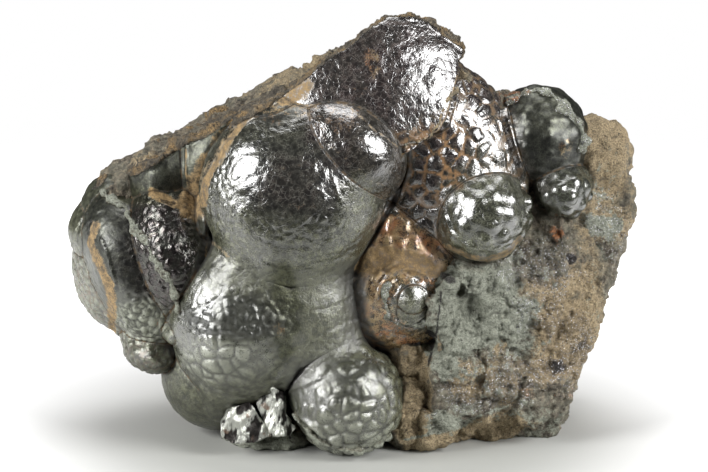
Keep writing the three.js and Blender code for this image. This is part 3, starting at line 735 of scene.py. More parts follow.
# Ledges: middle, size along, in and out and thick, roll and tilt in degrees.
LEDGES = [
    ((-39.5, 0, 42.8), (11, 13, 4), -30, 2),
    ((-31.2, 2, 49), (10, 13, 3.4), -24, 2),
    ((-19.5, 3, 55.6), (17, 10, 3), -27, 2),
    ((-6.5, 0, 62.2), (9, 10, 4), -36, 2),
    ((-9, 21.5, 21), (38, 10, 7), 9, -8),
    ((16, 19.5, 43), (30, 11, 8), -14, 10),
]
SHOULDER = ((41.6, 1, 47.6), (6.6, 8, 7))
TOE = ((-14.5, -10, 0.6), (8.4, 8.6, 3.2))
FIBROUS = [((8.8, -10.6, 5.4), (4.4, 8.6, 8.4)), ((10.2, -8.5, 16), (5, 8, 8)),
           ((13.2, -9.4, 6), (4, 7.6, 10)), ((12.4, -12.6, 22), (2.8, 4.6, 3.6)),
           ((13.4, -13.4, 14), (2.6, 4.2, 4)), ((10, -13.8, 9.6), (2.8, 4.6, 3.2)),
           ((14, -13.4, 4), (3.2, 4.2, 4.4)), ((14.6, -12.6, 28), (2.4, 4.4, 3.2))]
FLAKES = 34                        # plates that stand a little proud of the block's front
LUMP_REACH = 3.4                   # of the cube a lump is cut from, times the lump's size
# Hollows where flakes came off the back: middle and radius.
SCARS = [((-15, 51, 47), 30), ((17, 57, 20), 33), ((-31, 45, 20), 27), ((38, 42, 44), 25)]


def plane_cut(solids, facing, through):
    cut = bmesh.ops.bisect_plane(
        solids, geom=[*solids.verts, *solids.edges, *solids.faces], dist=1e-5,
        plane_co=through, plane_no=facing, clear_outer=True,
    )
    rim = [item for item in cut["geom_cut"] if isinstance(item, bmesh.types.BMEdge)]
    if rim:
        bmesh.ops.holes_fill(solids, edges=rim)


def add_block(solids, block):
    """A lump of matrix cut flat along each of its broken faces."""
    middle, span, faces = block
    lump = bmesh.new()
    bmesh.ops.create_cube(lump, size=1)
    bmesh.ops.scale(lump, vec=Vector(span) * LUMP_REACH, verts=lump.verts)
    bmesh.ops.translate(lump, vec=middle, verts=lump.verts)
    for facing, through in faces:
        plane_cut(lump, unit(facing), through)
    merge(solids, lump)


def add_lumps(solids, lumps):
    for middle, half in lumps:
        add_ball(solids, (np.array(middle), np.array(half), np.eye(3), []), LUMP_DETAIL)


def add_ledge(solids, ledge):
    middle, size, roll, tilt = ledge
    slab = bmesh.new()
    bmesh.ops.create_cube(slab, size=1)
    bmesh.ops.scale(slab, vec=size, verts=slab.verts)
    bmesh.ops.rotate(slab, matrix=Matrix(turned(roll, tilt)), verts=slab.verts)
    bmesh.ops.translate(slab, vec=middle, verts=slab.verts)
    merge(solids, slab)


def add_flakes(solids):
    """Thin plates left on the block's front where the stone split."""
    chance = random.Random(11)
    facing, through = BLOCK_FRONT
    turn_in = Matrix.Rotation(math.atan2(facing[0], -facing[1]), 3, "Z")
    for _ in range(FLAKES):
        x, z = chance.uniform(14, 37), chance.uniform(2, 30)
        y = through[1] - (facing[0] * (x - through[0]) + facing[2] * (z - through[2])) / facing[1]
        flake = bmesh.new()
        bmesh.ops.create_cone(flake, cap_ends=True, segments=chance.randint(4, 6), radius1=1,
                              radius2=0.85, depth=1)
        wide, high = chance.uniform(2, 5.5), chance.uniform(1.6, 4)
        bmesh.ops.scale(flake, vec=(wide, high, 2.4), verts=flake.verts)
        lean = Matrix.Rotation(math.radians(90 + chance.uniform(-7, 7)), 3, "X")
        roll = Matrix.Rotation(chance.uniform(0, math.pi), 3, "Y")
        tip = Matrix.Rotation(math.radians(chance.uniform(-7, 7)), 3, "Z")
        bmesh.ops.rotate(flake, matrix=turn_in @ tip @ roll @ lean, verts=flake.verts)
        bmesh.ops.translate(flake, vec=(x, y + chance.uniform(0.2, 0.9), z), verts=flake.verts)
        merge(solids, flake)


def merge(solids, part):
    mesh = bpy.data.meshes.new("part")
    part.to_mesh(mesh)
    part.free()
    solids.from_mesh(mesh)
    bpy.data.meshes.remove(mesh)


MATRIX_PATCHES = {
    "ochre": [
        (590, 170, 40, 60, 0, 0.7), (600, 150, 20, 20, 0, 0.3), (292, 80, 30, 14, -27, 0.4),
        (420, 390, 20, 60, 0, 0.6),
    ],
    "rust": [
        (575, 170, 18, 22, 0, 0.3), (200, 120, 120, 40, -30, -0.5),
    ],
    "film": [
        (550, 240, 30, 20, 0, 0.6), (590, 320, 34, 110, 0, 0.6), (560, 230, 40, 30, 0, 0.4),
        (605, 190, 24, 40, 0, 0.3), (260, 446, 60, 12, 0, 1.9),
    ],
    "dark": [
        (240, 130, 50, 8, -27, 0.5), (205, 118, 60, 14, -27, 0.3), (590, 350, 26, 60, 0, 0.3),
    ],
    "sparkle": [
        (600, 240, 30, 60, 0, 0.25), (580, 350, 30, 70, 0, 0.4),
    ],
}
MATRIX_LINES = [
    ("dark", [(200, 137), (228, 122), (262, 104)], 3, 0.9),
]
BLOCK_PATCHES = {
    "film": [
        (480, 330, 62, 86, 0, 0.8), (545, 310, 40, 50, 0, -0.2), (440, 290, 16, 22, 0, 0.6),
        (500, 380, 46, 32, 0, -0.6), (455, 392, 18, 12, 0, -0.5), (590, 300, 26, 50, 0, 0.1),
        (412, 400, 20, 52, 0, -0.8), (442, 424, 24, 16, 0, 0.8), (466, 438, 60, 11, -12, -0.9),
        (535, 425, 34, 24, 0, 0.3),
    ],
    "ochre": [
        (556, 330, 26, 44, 10, 0.6), (470, 378, 20, 16, 0, 0.35), (510, 370, 30, 30, 0, 0.3),
        (503, 328, 10, 18, 20, 0.9), (586, 330, 22, 90, 0, 0.5), (412, 400, 20, 52, 0, 1.3),
        (466, 438, 60, 11, -12, 1.0), (492, 424, 30, 12, -8, 0.6),
    ],
    "rust": [
        (500, 330, 120, 120, 0, -0.5), (560, 235, 20, 12, 0, 0.35), (536, 300, 12, 14, 20, 0.6),
        (524, 394, 12, 8, 0, 0.4),
    ],
    # dark: blackened stone; the last three, small patches at cavities, are painted shade in hollows
    "dark": [
        (580, 375, 20, 40, 0, 0.3), (536, 268, 34, 20, 0, 0.35), (560, 330, 30, 26, 0, 0.3),
        (500, 385, 50, 20, -20, 0.35), (418, 337, 16, 7, 0, 1.5), (447, 278, 10, 5, 20, 0.6),
        (572, 258, 5, 4, 0, 1.5),
    ],
    "sparkle": [
        (538, 262, 40, 26, 0, 0.4), (490, 385, 60, 26, -20, 0.4), (540, 310, 30, 24, 0, 0.3),
        (575, 360, 24, 50, 0, 0.25),
    ],
}
BLOCK_LINES = [
    ("dark", [(441, 292), (437, 330), (432, 350), (428, 366)], 1.2, 0.8),
    ("film", [(405, 440), (440, 432), (470, 419), (508, 406)], 1.6, 1.0),
]


# How much of each cover the stone has everywhere, before anything is drawn on it.
MATRIX_COVER = {"film": 0.1, "ochre": 0.25, "rust": 0.05, "dark": 0.0, "sparkle": 0.0}
BLOCK_COVER = {"film": 0.3, "ochre": 0.25, "rust": 0.05, "dark": 0.0, "sparkle": 0.0}
RIM_COVER = {"film": 0.85, "ochre": 0.1, "rust": 0.0, "dark": 0.1, "sparkle": 0.1}


def finish_rock(piece, base, patches, lines):
    """Masks for broken stone, from its base cover and what is drawn on the sheet."""
    points = corners(piece)
    normals = outward(piece)
    sheet = on_sheet(points)
    frontal = facing_front(normals)
    ragged = 0.5 * grain(points, 4, 7.2, 5)
    masks = {name: np.full(len(points), amount) for name, amount in base.items()}
    cloudy = grain(points, 12, 4.4, 3)
    masks["rust"] = masks["rust"] + 0.5 * smooth(cloudy, 0.1, 0.5)
    masks["ochre"] = masks["ochre"] + 0.4 * smooth(-cloudy, 0.0, 0.5)
    paint(masks, sheet, frontal, ragged, patches, lines)
    # painted shade: how much the stone is closed round, to darken its creases
    masks["crease"] = filled_nearby(points, normals, STONE_REACHES)
    add_masks(piece, masks)


def roughen(piece, amounts, rounds):
    """Softens the edges of broken stone, then gives it the relief of a break."""
    soften = piece.modifiers.new("worn edges", "SMOOTH")
    soften.iterations = rounds
    bake_modifiers(piece)
    push_out(piece, break_relief(corners(piece), *amounts))


def make_matrix():
    solids = bmesh.new()
    add_block(solids, MATRIX)
    for ledge in LEDGES:
        add_ledge(solids, ledge)
    for facing, through in FRACTURES:
        plane_cut(solids, unit(facing), through)
    add_block(solids, CREST)
    add_lumps(solids, (SHOULDER, TOE))
    plane_cut(solids, (0, 0, -1), (0, 0, 0))
    piece = skin_round(solids, "matrix", VOXEL["matrix"])
    points = corners(piece)
    for middle, radius in SCARS:
        away = points - middle
        far = np.linalg.norm(away, axis=1)
        inside = far < radius
        points[inside] = middle + away[inside] / far[inside, None] * radius
    set_corners(piece, points)
    roughen(piece, (1.0, 0.6, 0.25, 1.1), 3)
    push_out(piece, layering(corners(piece)))
    return piece


def make_block():
    solids = bmesh.new()
    add_block(solids, LOWER_RIGHT)
    add_lumps(solids, FIBROUS)
    add_flakes(solids)
    plane_cut(solids, (0, 0, -1), (0, 0, 0))
    plane_cut(solids, (0, 1, 0), (0, BLOCK_BACK, 0))
    piece = skin_round(solids, "broken_block", VOXEL["block"])
    roughen(piece, (1.2, 0.6, 0.35, 1.1), 2)
    return piece


# Raised edges of broken crust, round bars along a line on the kidneys: radius and points.
RIMS = [
    (0.85, [(-43.4, -5, 42.6), (-41, -9.2, 41.8), (-38.9, -11.2, 40.8), (-37, -14.9, 38.2),
            (-34.3, -18.4, 35.6), (-32.4, -19.4, 32.3), (-30.6, -19.2, 27.5),
            (-29.2, -20.8, 24.4)]),
    (1.05, [(26.7, -5, 60), (31.3, -5.4, 60.7), (34.2, -6.4, 60.1), (37.2, -7.6, 57.2),
            (39, -7.6, 52.8), (38.6, -8, 49.8)]),
    (0.4, [(7.8, -18.6, 54), (12.1, -17.2, 55.1), (14.3, -15.8, 57.4), (15.8, -13.4, 62.1),
           (16.7, -12.1, 64.1)]),
    (0.6, [(-9.7, -21.4, 8.1), (-7.2, -24.2, 5.2), (-4, -25, 3.2), (-0.5, -24.8, 2),
           (4, -22.8, 1.8), (7.4, -18.6, 2.2)]),
    (0.6, [(6.1, -18.6, 30.7), (5, -18.7, 27.7), (6.2, -18.4, 24.4), (9.3, -18, 22.8),
           (12.4, -17.4, 24.4), (14.4, -16.6, 27.6)]),
]
RIM_PATCHES = {
    "film": [
        (150, 250, 50, 80, 0, -0.1), (345, 440, 60, 30, 0, 0.4), (430, 110, 50, 50, 0, -0.6),
    ],
    "rust": [
        (150, 250, 60, 90, 0, -1.0),
    ],
    "sparkle": [
        (548, 120, 50, 60, 0, 0.9), (408, 300, 40, 34, 0, 0.6),
    ],
    "ochre": [
        (430, 110, 50, 50, 0, 0.6),
    ],
}
RIM_STEP, RIM_WANDER, RIM_ROUGHNESS = 0.8, 0.8, 0.55
RIM_THICKNESS = (0.3, 1.5)         # least and most, times the rim's radius
RIM_SETTLING = 6


def rim_places(line):
    """Points close together along a rim, wandering a little, each on the kidneys."""
    places = []
    for start, end in zip(np.array(line, float), np.array(line[1:], float)):
        parts = max(2, round(np.linalg.norm(end - start) / RIM_STEP))
        places += [start + (end - start) * i / parts for i in range(parts)]
    places = np.array(places)
    for axis in range(3):
        places[:, axis] += RIM_WANDER * grain(places, 4, 5.3 + axis, 3)
    for _ in range(RIM_SETTLING):
        gap, way, _, _ = growth_field(places, KIDNEY_NAMES)
        places -= gap[:, None] * way
    return places


def make_rims():
    solids = bmesh.new()
    for radius, line in RIMS:
        places = rim_places(line)
        curve = bpy.data.curves.new("rim", "CURVE")
        curve.dimensions = "3D"
        curve.bevel_depth = radius
        curve.bevel_resolution = 3
        curve.use_fill_caps = True
        spline = curve.splines.new("POLY")
        spline.points.add(len(places) - 1)
        thick = np.clip(0.75 + 0.9 * grain(places, 2.5, 2.9, 3), *RIM_THICKNESS)
        for point, place, part in zip(spline.points, places, thick):
            point.co = (*place, 1)
            point.radius = part
        bar = bpy.data.objects.new("rim", curve)
        mesh = bpy.data.meshes.new_from_object(bar)
        solids.from_mesh(mesh)
        bpy.data.objects.remove(bar)
        bpy.data.curves.remove(curve)
        bpy.data.meshes.remove(mesh)
    piece = skin_round(solids, "crust_rims", VOXEL["rims"])
    push_out(piece, RIM_ROUGHNESS * grain(corners(piece), 1.6, 4.1, 4))
    return piece


# A kidney broken open at the bottom, in wedges: the middle of the front of each, how far the
# front leans back to the right and upwards, and its outline in X and Z from the upper left.
WEDGES = [
    ((-18.5, -20.6, 6), (0.35, 0.3), [(-20.8, 8.4), (-18.1, 9.6), (-16.4, 6.6), (-14.4, 3.4),
     (-17.3, 2.3), (-20.9, 2.6), (-22.9, 3.9), (-22.7, 6.3)]),
    ((-15, -20.4, 8), (-0.5, 0.2), [(-17.2, 10.2), (-14.8, 12.6), (-13.4, 9), (-11.8, 4.2),
     (-14, 3.7), (-15.9, 6.8)]),
    ((-12, -21.4, 8), (0.5, 0.25), [(-14.4, 12.5), (-11.6, 11.4), (-11.9, 7.8), (-10.1, 5.1),
     (-11, 3.6), (-12.4, 4.2), (-13.4, 9)]),
]
WEDGE_DEPTH = 12


def make_wedges():
    solids = bmesh.new()
    for middle, lean, outline in WEDGES:
        wedge = bmesh.new()
        front = [wedge.verts.new((x, 0, z)) for x, z in outline]
        made = bmesh.ops.extrude_face_region(wedge, geom=[wedge.faces.new(front)])["geom"]
        for vert in made:
            if isinstance(vert, bmesh.types.BMVert):
                vert.co.y = middle[1] + WEDGE_DEPTH
        for vert in front:
            vert.co.y = (middle[1] + lean[0] * (vert.co.x - middle[0])
                         + lean[1] * (vert.co.z - middle[2]))
        bmesh.ops.recalc_face_normals(wedge, faces=wedge.faces)
        merge(solids, wedge)
    piece = skin_round(solids, "wedges", VOXEL["wedges"])
    points = corners(piece)
    streaks = grain(points @ turned(25, 0), 1.8, 2.2, 3, (1, 1, 3))
    push_out(piece, 0.35 * streaks + 0.3 * grain(points, 3, 5.1, 2))
    add_masks(piece, {"streak": 0.5 + streaks})
    return piece


# ---------------------------------------------------------------- materials
# Most colours come as a dark and a light one, which a pattern plays between.
IRON, IRON_LIGHT = (0.011, 0.012, 0.009), (0.028, 0.03, 0.023)
PLUM_DARK, PLUM_LIGHT = (0.014, 0.009, 0.009), (0.046, 0.029, 0.025)
FILM_DARK, FILM_LIGHT = (0.052, 0.055, 0.03), (0.17, 0.176, 0.103)
CRUST_DARK, CRUST_LIGHT = (0.17, 0.18, 0.14), (0.47, 0.49, 0.4)
OCHRE_DARK, OCHRE_LIGHT = (0.12, 0.075, 0.03), (0.46, 0.33, 0.165)
EARTH_DARK, EARTH_LIGHT = (0.17, 0.12, 0.06), (0.56, 0.45, 0.28)
RUST_DARK, RUST_LIGHT = (0.08, 0.038, 0.018), (0.5, 0.2, 0.07)
STONE_DARK, STONE_LIGHT = (0.06, 0.05, 0.037), (0.32, 0.275, 0.2)
FIBRE_DARK, FIBRE_LIGHT = (0.03, 0.027, 0.025), (0.52, 0.53, 0.48)
FIBRE_RUST = (0.2, 0.12, 0.08)
PALE_DUST_AND_REFLECTION = (0.34, 0.355, 0.29)
CRACKLE_ON_IRON, CRACKLE_ON_PLUM = (0.19, 0.2, 0.155), (0.22, 0.195, 0.19)
SCALE_GAP_BARE, SCALE_GAP_DUSTY = (0.06, 0.062, 0.05), (0.02, 0.021, 0.014)
# Black of the cracks where kidneys meet, also painted shade deep in the kidneys' creases; then a
# dirt colour that paints shade into the stone's creases.
CRACK_AND_SHADE_BLACK, CREASE_DIRT_AND_SHADE = (0.01, 0.009, 0.007), (0.09, 0.065, 0.035)
PITS, SPECKS, SPLITS = (0.035, 0.03, 0.024), (0.04, 0.034, 0.026), (0.05, 0.04, 0.03)
GREY_TINT, BLACK_STAIN_AND_SHADE, GLINT = (0.2, 0.2, 0.15), (0.03, 0.026, 0.024), (0.6, 0.6, 0.62)
HEMATITE_IOR = 2.4


class Surface:
    """A procedural material, built up node by node on millimetre coordinates."""

    def __init__(self, name):
        self.material = bpy.data.materials.new(name)
        self.material.use_nodes = True
        self.nodes = self.material.node_tree.nodes
        self.links = self.material.node_tree.links
        self.shader = self.nodes["Principled BSDF"]
        place = self.add("ShaderNodeTexCoord").outputs["Object"]
        scale = self.add("ShaderNodeMapping", {"Vector": place, "Scale": (1000, 1000, 1000)})
        self.place = scale.outputs["Vector"]

    def add(self, kind, inputs=(), **settings):
        made = self.nodes.new(kind)
        for name, value in settings.items():
            setattr(made, name, value)
        for name, value in dict(inputs).items():
            self.put(made.inputs[name], value)
        return made

    def put(self, socket, value):
        if isinstance(value, bpy.types.NodeSocket):
            self.links.new(value, socket)
        elif isinstance(value, tuple) and len(value) == 3 and socket.type == "RGBA":
            socket.default_value = (*value, 1)
        else:
            socket.default_value = value

    def set(self, name, value):
        self.put(self.shader.inputs[name], value)

    def mask(self, name):
        return self.add("ShaderNodeAttribute", attribute_name=name).outputs["Fac"]

    def clouds(self, scale, detail=4, rough=0.55, place=None):
        return self.add("ShaderNodeTexNoise", {
            "Vector": place or self.place, "Scale": scale, "Detail": detail, "Roughness": rough,
        }).outputs["Fac"]

    def cracks(self, scale, place=None):
        return self.add("ShaderNodeTexVoronoi", {"Vector": place or self.place, "Scale": scale},
                        feature="DISTANCE_TO_EDGE").outputs["Distance"]

    def pebbles(self, scale, place=None):
        return self.add("ShaderNodeTexVoronoi", {"Vector": place or self.place, "Scale": scale},
                        feature="F1").outputs["Distance"]

    def stretched(self, *scale):
        return self.add("ShaderNodeMapping", {"Vector": self.place, "Scale": scale}).outputs[0]

    def bent(self, amount, scale):
        """The coordinates, bent about so that patterns on them don't run straight."""
        push = self.add("ShaderNodeTexNoise", {"Vector": self.place, "Scale": scale})
        scaled = self.add("ShaderNodeVectorMath", {0: push.outputs["Color"]}, operation="SCALE")
        scaled.inputs["Scale"].default_value = amount
        return self.add("ShaderNodeVectorMath", {0: self.place, 1: scaled.outputs[0]}).outputs[0]

    def reckon(self, operation, first, second):
        return self.add("ShaderNodeMath", {0: first, 1: second}, operation=operation).outputs[0]

    def sum(self, first, second):
        return self.reckon("ADD", first, second)

    def times(self, first, second):
        return self.reckon("MULTIPLY", first, second)

    def most(self, first, second):
        return self.reckon("MAXIMUM", first, second)

    def between(self, value, low, high, to_low=0.0, to_high=1.0):
        return self.add("ShaderNodeMapRange", {
            "Value": value, "From Min": low, "From Max": high, "To Min": to_low, "To Max": to_high,
        }, interpolation_type="SMOOTHSTEP").outputs["Result"]

    def blend(self, share, first, second):
        made = self.add("ShaderNodeMix", data_type="RGBA")
        self.put(made.inputs[0], share)
        self.put(made.inputs[6], first)
        self.put(made.inputs[7], second)
        return made.outputs[2]

    def mixed(self, share, first, second):
        made = self.add("ShaderNodeMix", data_type="FLOAT")
        self.put(made.inputs[0], share)
        self.put(made.inputs[2], first)
        self.put(made.inputs[3], second)
        return made.outputs[0]

    def bumps(self, heights):
        """Stacks bumps, each a height between 0 and 1 and its depth in millimetres."""
        normal = None
        for height, depth in heights:
            bump = self.add("ShaderNodeBump", {"Height": height, "Distance": depth * MM})
            if normal is not None:
                self.links.new(normal, bump.inputs["Normal"])
            normal = bump.outputs["Normal"]
        self.set("Normal", normal)


def cover(surface, name, grainy, width=0.25, play=0.35):
    """A mask whose edge is broken up by a pattern; nothing where the mask is 0."""
    level = surface.sum(surface.mask(name), surface.between(grainy, 0.3, 0.7, -play, 0.0))
    return surface.between(level, 0.08, 0.08 + 2 * width)


def kidney_skin():
    """Glossy hematite: bare iron or plum tarnish, under dust, ochre and rust."""
    s = Surface("kidney skin")
    broad = s.clouds(0.3)
    medium = s.clouds(1.0)
    fine = s.clouds(4.2, 4, 0.6)
    bent = s.bent(1.1, 0.9)
    crackle = s.cracks(0.9, bent)
    small_crackle = s.cracks(2.2, bent)
    dusty = s.sum(s.times(medium, 0.5), s.times(fine, 0.5))
    film = s.times(s.mask("film"), s.between(dusty, 0.3, 0.7, 0.55, 1.25))
    ochre = cover(s, "ochre", dusty, 0.35, 0.6)
    rust = cover(s, "rust", dusty, 0.35, 0.6)
    satin = s.mask("satin")
    plum = s.times(s.mask("plum"), s.between(broad, 0.3, 0.7, 0.6, 1.0))
    rock = cover(s, "rock", fine, 0.2)
    seam = s.between(s.mask("seam"), 0.3, 0.9)
    crease = s.between(s.sum(s.mask("crease"), s.between(fine, 0.3, 0.7, -0.1, 0.1)), 0.5, 1.0)
    edge = s.mask("edge")

    iron = s.blend(s.between(medium, 0.35, 0.7), IRON, IRON_LIGHT)
    plummy = s.blend(s.between(medium, 0.4, 0.7), PLUM_DARK, PLUM_LIGHT)
    film_colour = s.blend(s.between(dusty, 0.38, 0.62), FILM_DARK, FILM_LIGHT)
    ochre_colour = s.blend(s.between(dusty, 0.35, 0.65), OCHRE_DARK, OCHRE_LIGHT)
    rust_colour = s.blend(s.between(broad, 0.36, 0.56), RUST_LIGHT, OCHRE_LIGHT)
    rust_colour = s.blend(s.between(dusty, 0.38, 0.58), RUST_DARK, rust_colour)
    stone_grain = s.clouds(0.9, 9, 0.72)
    rock_colour = s.blend(s.between(stone_grain, 0.38, 0.75), STONE_DARK, STONE_LIGHT)
    earthy = s.blend(s.between(fine, 0.35, 0.65), OCHRE_DARK, OCHRE_LIGHT)
    rock_colour = s.blend(s.between(broad, 0.45, 0.65), rock_colour, earthy)
    rock_colour = s.blend(s.between(s.clouds(1.7, 9, 0.8), 0.49, 0.41), rock_colour, PITS)
    lines = s.times(s.between(crackle, 0.06, 0.0), s.between(broad, 0.36, 0.56))
    small_lines = s.times(s.between(small_crackle, 0.09, 0.0), s.between(medium, 0.42, 0.57))

    colour = s.blend(plum, iron, plummy)
    colour = s.blend(film, colour, film_colour)
    # pale dust, and a painted reflection of the floor on low scales
    pale = s.times(s.mask("pale"), s.between(dusty, 0.3, 0.6, 0.4, 0.9))
    colour = s.blend(pale, colour, PALE_DUST_AND_REFLECTION)
    crackled = s.times(s.most(lines, small_lines), s.mixed(plum, 0.33, 0.45))
    colour = s.blend(crackled, colour, s.blend(plum, CRACKLE_ON_IRON, CRACKLE_ON_PLUM))
    gap_colour = s.blend(s.between(film, 0.15, 0.45), SCALE_GAP_BARE, SCALE_GAP_DUSTY)
    colour = s.blend(s.times(edge, 0.85), colour, gap_colour)
    colour = s.blend(rust, colour, rust_colour)
    # painted shade in the creases: darker towards dark film colour, and black deep in
    colour = s.blend(s.times(crease, 0.5), colour, FILM_DARK)
    colour = s.blend(s.between(s.mask("crease"), 0.8, 1.0, 0.0, 0.8), colour, CRACK_AND_SHADE_BLACK)
    rusty_gaps = s.times(s.times(edge, s.mask("rusty")), s.between(medium, 0.35, 0.55))
    colour = s.blend(rusty_gaps, colour, s.blend(fine, RUST_LIGHT, OCHRE_LIGHT))
    colour = s.blend(ochre, colour, ochre_colour)
    seam_colour = s.blend(s.between(medium, 0.4, 0.6), CRACK_AND_SHADE_BLACK, OCHRE_DARK)
    colour = s.blend(s.times(seam, s.between(dusty, 0.38, 0.52, 0.2, 0.9)), colour, seam_colour)
    s.set("Base Color", s.blend(rock, colour, rock_colour))

    # a dark base reflects less as metal, which keeps powders and satin skin from a pale sheen
    powder = s.most(s.most(ochre, rock), seam)
    dull = s.sum(s.times(satin, 0.75), s.times(film, 0.1))
    s.set("Metallic", s.most(s.most(dull, s.times(rust, 0.4)), s.times(powder, 0.75)))
    rough = s.mixed(film, s.between(dusty, 0.35, 0.65, 0.17, 0.24),
                    s.between(dusty, 0.35, 0.65, 0.2, 0.34))
    rough = s.mixed(s.reckon("SUBTRACT", satin, plum), rough, 0.4)
    rough = s.mixed(rust, rough, 0.3)
    rough = s.mixed(s.times(crease, 0.6), rough, 0.6)
    s.set("Roughness", s.mixed(powder, rough, 0.85))
    s.set("IOR", HEMATITE_IOR)
    crunch = s.sum(s.mixed(plum, 0.4, 1.0), s.times(film, 0.5))
    s.bumps([
        (s.times(s.between(crackle, 0.0, 0.14), crunch), 0.02),
        (s.times(s.between(small_crackle, 0.0, 0.2), crunch), 0.008),
        (s.times(medium, crunch), 0.035),
        (s.times(fine, s.sum(s.times(film, 4.5), 1.0)), 0.007),
        (s.times(s.clouds(9, 3, 0.6), film), 0.02),
        (s.times(stone_grain, rock), 0.5),
        (s.times(fine, rock), 0.25),
    ])
    return s.material


def broken_stone(name):
    """Rough stone under earthy ochre, grey-green crust and rust, with metallic glints."""
    s = Surface(name)
    medium = s.clouds(0.9, 9, 0.72)
    fine = s.clouds(3.5, 7, 0.72)
    specks = s.clouds(1.7, 9, 0.8)
    flakes = s.cracks(1.6, s.bent(1.2, 0.8))
    splits = s.clouds(0.8, 5, 0.65, s.stretched(0.5, 0.5, 2.2))
    film = cover(s, "film", medium, 0.16, 0.75)
    ochre = cover(s, "ochre", medium, 0.25, 0.5)
    rust = cover(s, "rust", medium, 0.2, 0.6)
    dark = cover(s, "dark", fine, 0.2)
    mottled = s.between(fine, 0.35, 0.65)
    colour = s.blend(s.between(medium, 0.35, 0.65), STONE_DARK, STONE_LIGHT)
    tints = s.between(s.clouds(0.5, 3, 0.5), 0.42, 0.58)
    colour = s.blend(s.times(tints, 0.45), colour, GREY_TINT)
    colour = s.blend(ochre, colour, s.blend(mottled, EARTH_DARK, EARTH_LIGHT))
    colour = s.blend(film, colour, s.blend(s.between(fine, 0.3, 0.7), CRUST_DARK, CRUST_LIGHT))
    colour = s.blend(rust, colour, s.blend(mottled, RUST_DARK, RUST_LIGHT))
    colour = s.blend(s.between(specks, 0.44, 0.39), colour, SPECKS)
    colour = s.blend(s.times(s.between(splits, 0.4, 0.34), 0.6), colour, SPLITS)
    # blackened stone, and painted shade where the block's cavities are drawn
    colour = s.blend(dark, colour, BLACK_STAIN_AND_SHADE)
    # painted shade in a dirt colour, darker where the stone is closed round
    crease = s.between(s.mask("crease"), 0.25, 0.85)
    colour = s.blend(s.times(crease, 0.5), colour, CREASE_DIRT_AND_SHADE)
    grains = s.between(s.pebbles(2.6), 0.36, 0.24)
    glints = s.times(grains, s.between(s.sum(s.mask("sparkle"), medium), 0.62, 0.78))
    s.set("Base Color", s.blend(glints, colour, GLINT))
    s.set("Metallic", s.mixed(glints, 0.08, 0.95))
    s.set("Roughness", s.mixed(glints, s.between(fine, 0.3, 0.7, 0.5, 0.8), 0.2))
    s.bumps([
        (s.between(flakes, 0.0, 0.12), 0.16),
        (splits, 0.25),
        (medium, 0.35),
        (fine, 0.25),
        (s.clouds(12, 4, 0.7), 0.06),
    ])
    return s.material


def wedge_face():
    """Silvery fibrous break of a kidney, in dark and pale streaks."""
    s = Surface("fibrous break")
    long = s.stretched(1.6, 1.6, 0.3)
    streaks = s.clouds(0.8, 6, 0.6, long)
    fibres = s.clouds(3.5, 5, 0.6, long)
    rusty = s.between(s.clouds(0.5, 5, 0.6), 0.56, 0.66)
    level = s.sum(s.times(streaks, 0.6), s.times(s.mask("streak"), 0.4))
    colour = s.blend(s.between(level, 0.4, 0.53), FIBRE_DARK, FIBRE_LIGHT)
    s.set("Base Color", s.blend(s.times(rusty, 0.7), colour, FIBRE_RUST))
    s.set("Metallic", 0.85)
    s.set("Roughness", s.between(fibres, 0.3, 0.7, 0.25, 0.42))
    s.bumps([(streaks, 0.25), (fibres, 0.06)])
    return s.material


def dress(piece, surface):
    piece.data.materials.clear()
    piece.data.materials.append(surface)
    piece.data.transform(Matrix.Scale(MM, 4))
    piece.data.shade_smooth()
    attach(piece, "root")
    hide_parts("hematite")


skin = kidney_skin()
for name in PIECES:
    piece = make_kidneys(name)
    finish_kidneys(piece)
    dress(piece, skin)
matrix = make_matrix()
finish_rock(matrix, MATRIX_COVER, MATRIX_PATCHES, MATRIX_LINES)
dress(matrix, broken_stone("matrix stone"))
block = make_block()
finish_rock(block, BLOCK_COVER, BLOCK_PATCHES, BLOCK_LINES)
dress(block, broken_stone("block stone"))
rims = make_rims()
finish_rock(rims, RIM_COVER, RIM_PATCHES, [])
dress(rims, broken_stone("crust"))
wedges = make_wedges()
dress(wedges, wedge_face())


# ---------------------------------------------------------------- floor, light and camera
LIGHTS_AIM = Vector((0, 0, 0.034))


def add_light(name, azimuth, elevation, distance, wide, high, power):
    lamp = bpy.data.lights.new(name, "AREA")
    lamp.shape = "RECTANGLE"
    lamp.size = wide
    lamp.size_y = high
    lamp.energy = power
    light = bpy.data.objects.new(name, lamp)
    bpy.context.scene.collection.objects.link(light)
    side, rise = math.radians(azimuth), math.radians(elevation)
    away = Vector((math.sin(side) * math.cos(rise), -math.cos(side) * math.cos(rise),
                   math.sin(rise)))
    light.location = LIGHTS_AIM + away * distance
    light.rotation_euler = away.to_track_quat("Z", "Y").to_euler()
    light.visible_camera = False


add_light("left softbox", -62, 24, 0.6, 0.3, 0.34, 5)
add_light("right softbox", 62, 27, 0.6, 0.3, 0.34, 5)
add_light("overhead softbox", 180, 70, 0.8, 0.5, 0.5, 4)

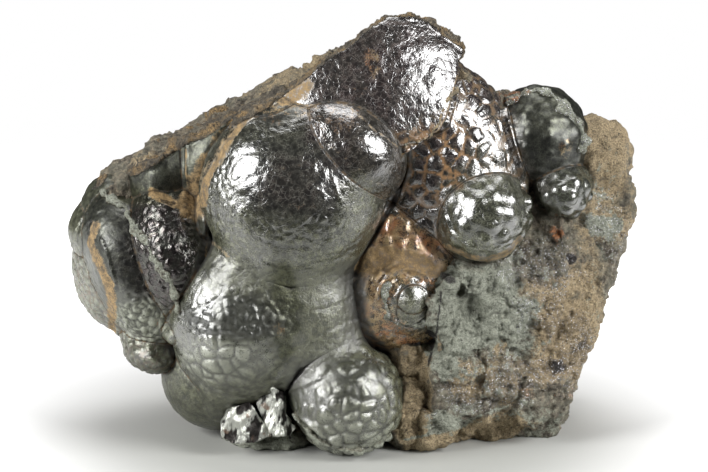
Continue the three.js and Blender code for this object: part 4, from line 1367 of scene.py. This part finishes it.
FLOOR_GAP = 0.00003                # keeps the card off the resting face
floor_mesh = bmesh.new()
bmesh.ops.create_grid(floor_mesh, x_segments=1, y_segments=1, size=0.5)
bmesh.ops.scale(floor_mesh, vec=(1, 0.46, 1), verts=floor_mesh.verts)
bmesh.ops.translate(floor_mesh, vec=(0, 0.14, -FLOOR_GAP), verts=floor_mesh.verts)
floor_data = bpy.data.meshes.new("floor")
floor_mesh.to_mesh(floor_data)
floor_mesh.free()
floor = bpy.data.objects.new("floor", floor_data)
bpy.context.scene.collection.objects.link(floor)


def white_card():
    """White card with a painted shadow, grey close in front of the piece, and a painted glow that
    brightens it further out; it fades out at its edges.
    """
    s = Surface("white card")
    parts = s.add("ShaderNodeSeparateXYZ", {"Vector": s.place}).outputs
    front = s.sum(parts["Y"], 12.0)
    square = s.sum(s.times(parts["X"], parts["X"]), s.times(front, front))
    reach = s.reckon("POWER", square, 0.5)
    # painted shadow: grey close in front of the piece
    s.set("Base Color", s.blend(s.between(reach, 25, 75), (0.42, 0.425, 0.4), (0.9, 0.9, 0.9)))
    s.set("Roughness", 0.7)
    # painted glow: emission brightens the card further from the piece
    s.set("Emission Color", (1, 1, 1))
    s.set("Emission Strength", s.between(reach, 50, 110, 0.0, 0.5))
    edges = s.times(s.between(parts["Y"], -80, -48), s.between(parts["Y"], 240, 120))
    sides = s.times(s.between(parts["X"], -300, -160), s.between(parts["X"], 300, 160))
    s.set("Alpha", s.times(edges, sides))
    return s.material


floor_data.materials.append(white_card())

world = bpy.data.worlds.new("studio")
bpy.context.scene.world = world
world.use_nodes = True
nodes, links = world.node_tree.nodes, world.node_tree.links
path = nodes.new("ShaderNodeLightPath")
dark = nodes["Background"]
dark.inputs["Color"].default_value = (0.035, 0.035, 0.038, 1)
bright = nodes.new("ShaderNodeBackground")
bright.inputs["Color"].default_value = (1, 1, 1, 1)
mix = nodes.new("ShaderNodeMixShader")
links.new(path.outputs["Is Camera Ray"], mix.inputs["Fac"])
links.new(dark.outputs["Background"], mix.inputs[1])
links.new(bright.outputs["Background"], mix.inputs[2])
links.new(mix.outputs["Shader"], nodes["World Output"].inputs["Surface"])

scene = bpy.context.scene
camera = bpy.data.objects.new("camera", bpy.data.cameras.new("camera"))
scene.collection.objects.link(camera)
camera.data.lens = LENS
camera.data.sensor_width = SENSOR
camera.location = EYE * MM
camera.rotation_euler = (math.radians(90) - SIGHT_DOWN, 0, 0)
scene.camera = camera
scene.view_settings.view_transform = "Standard"
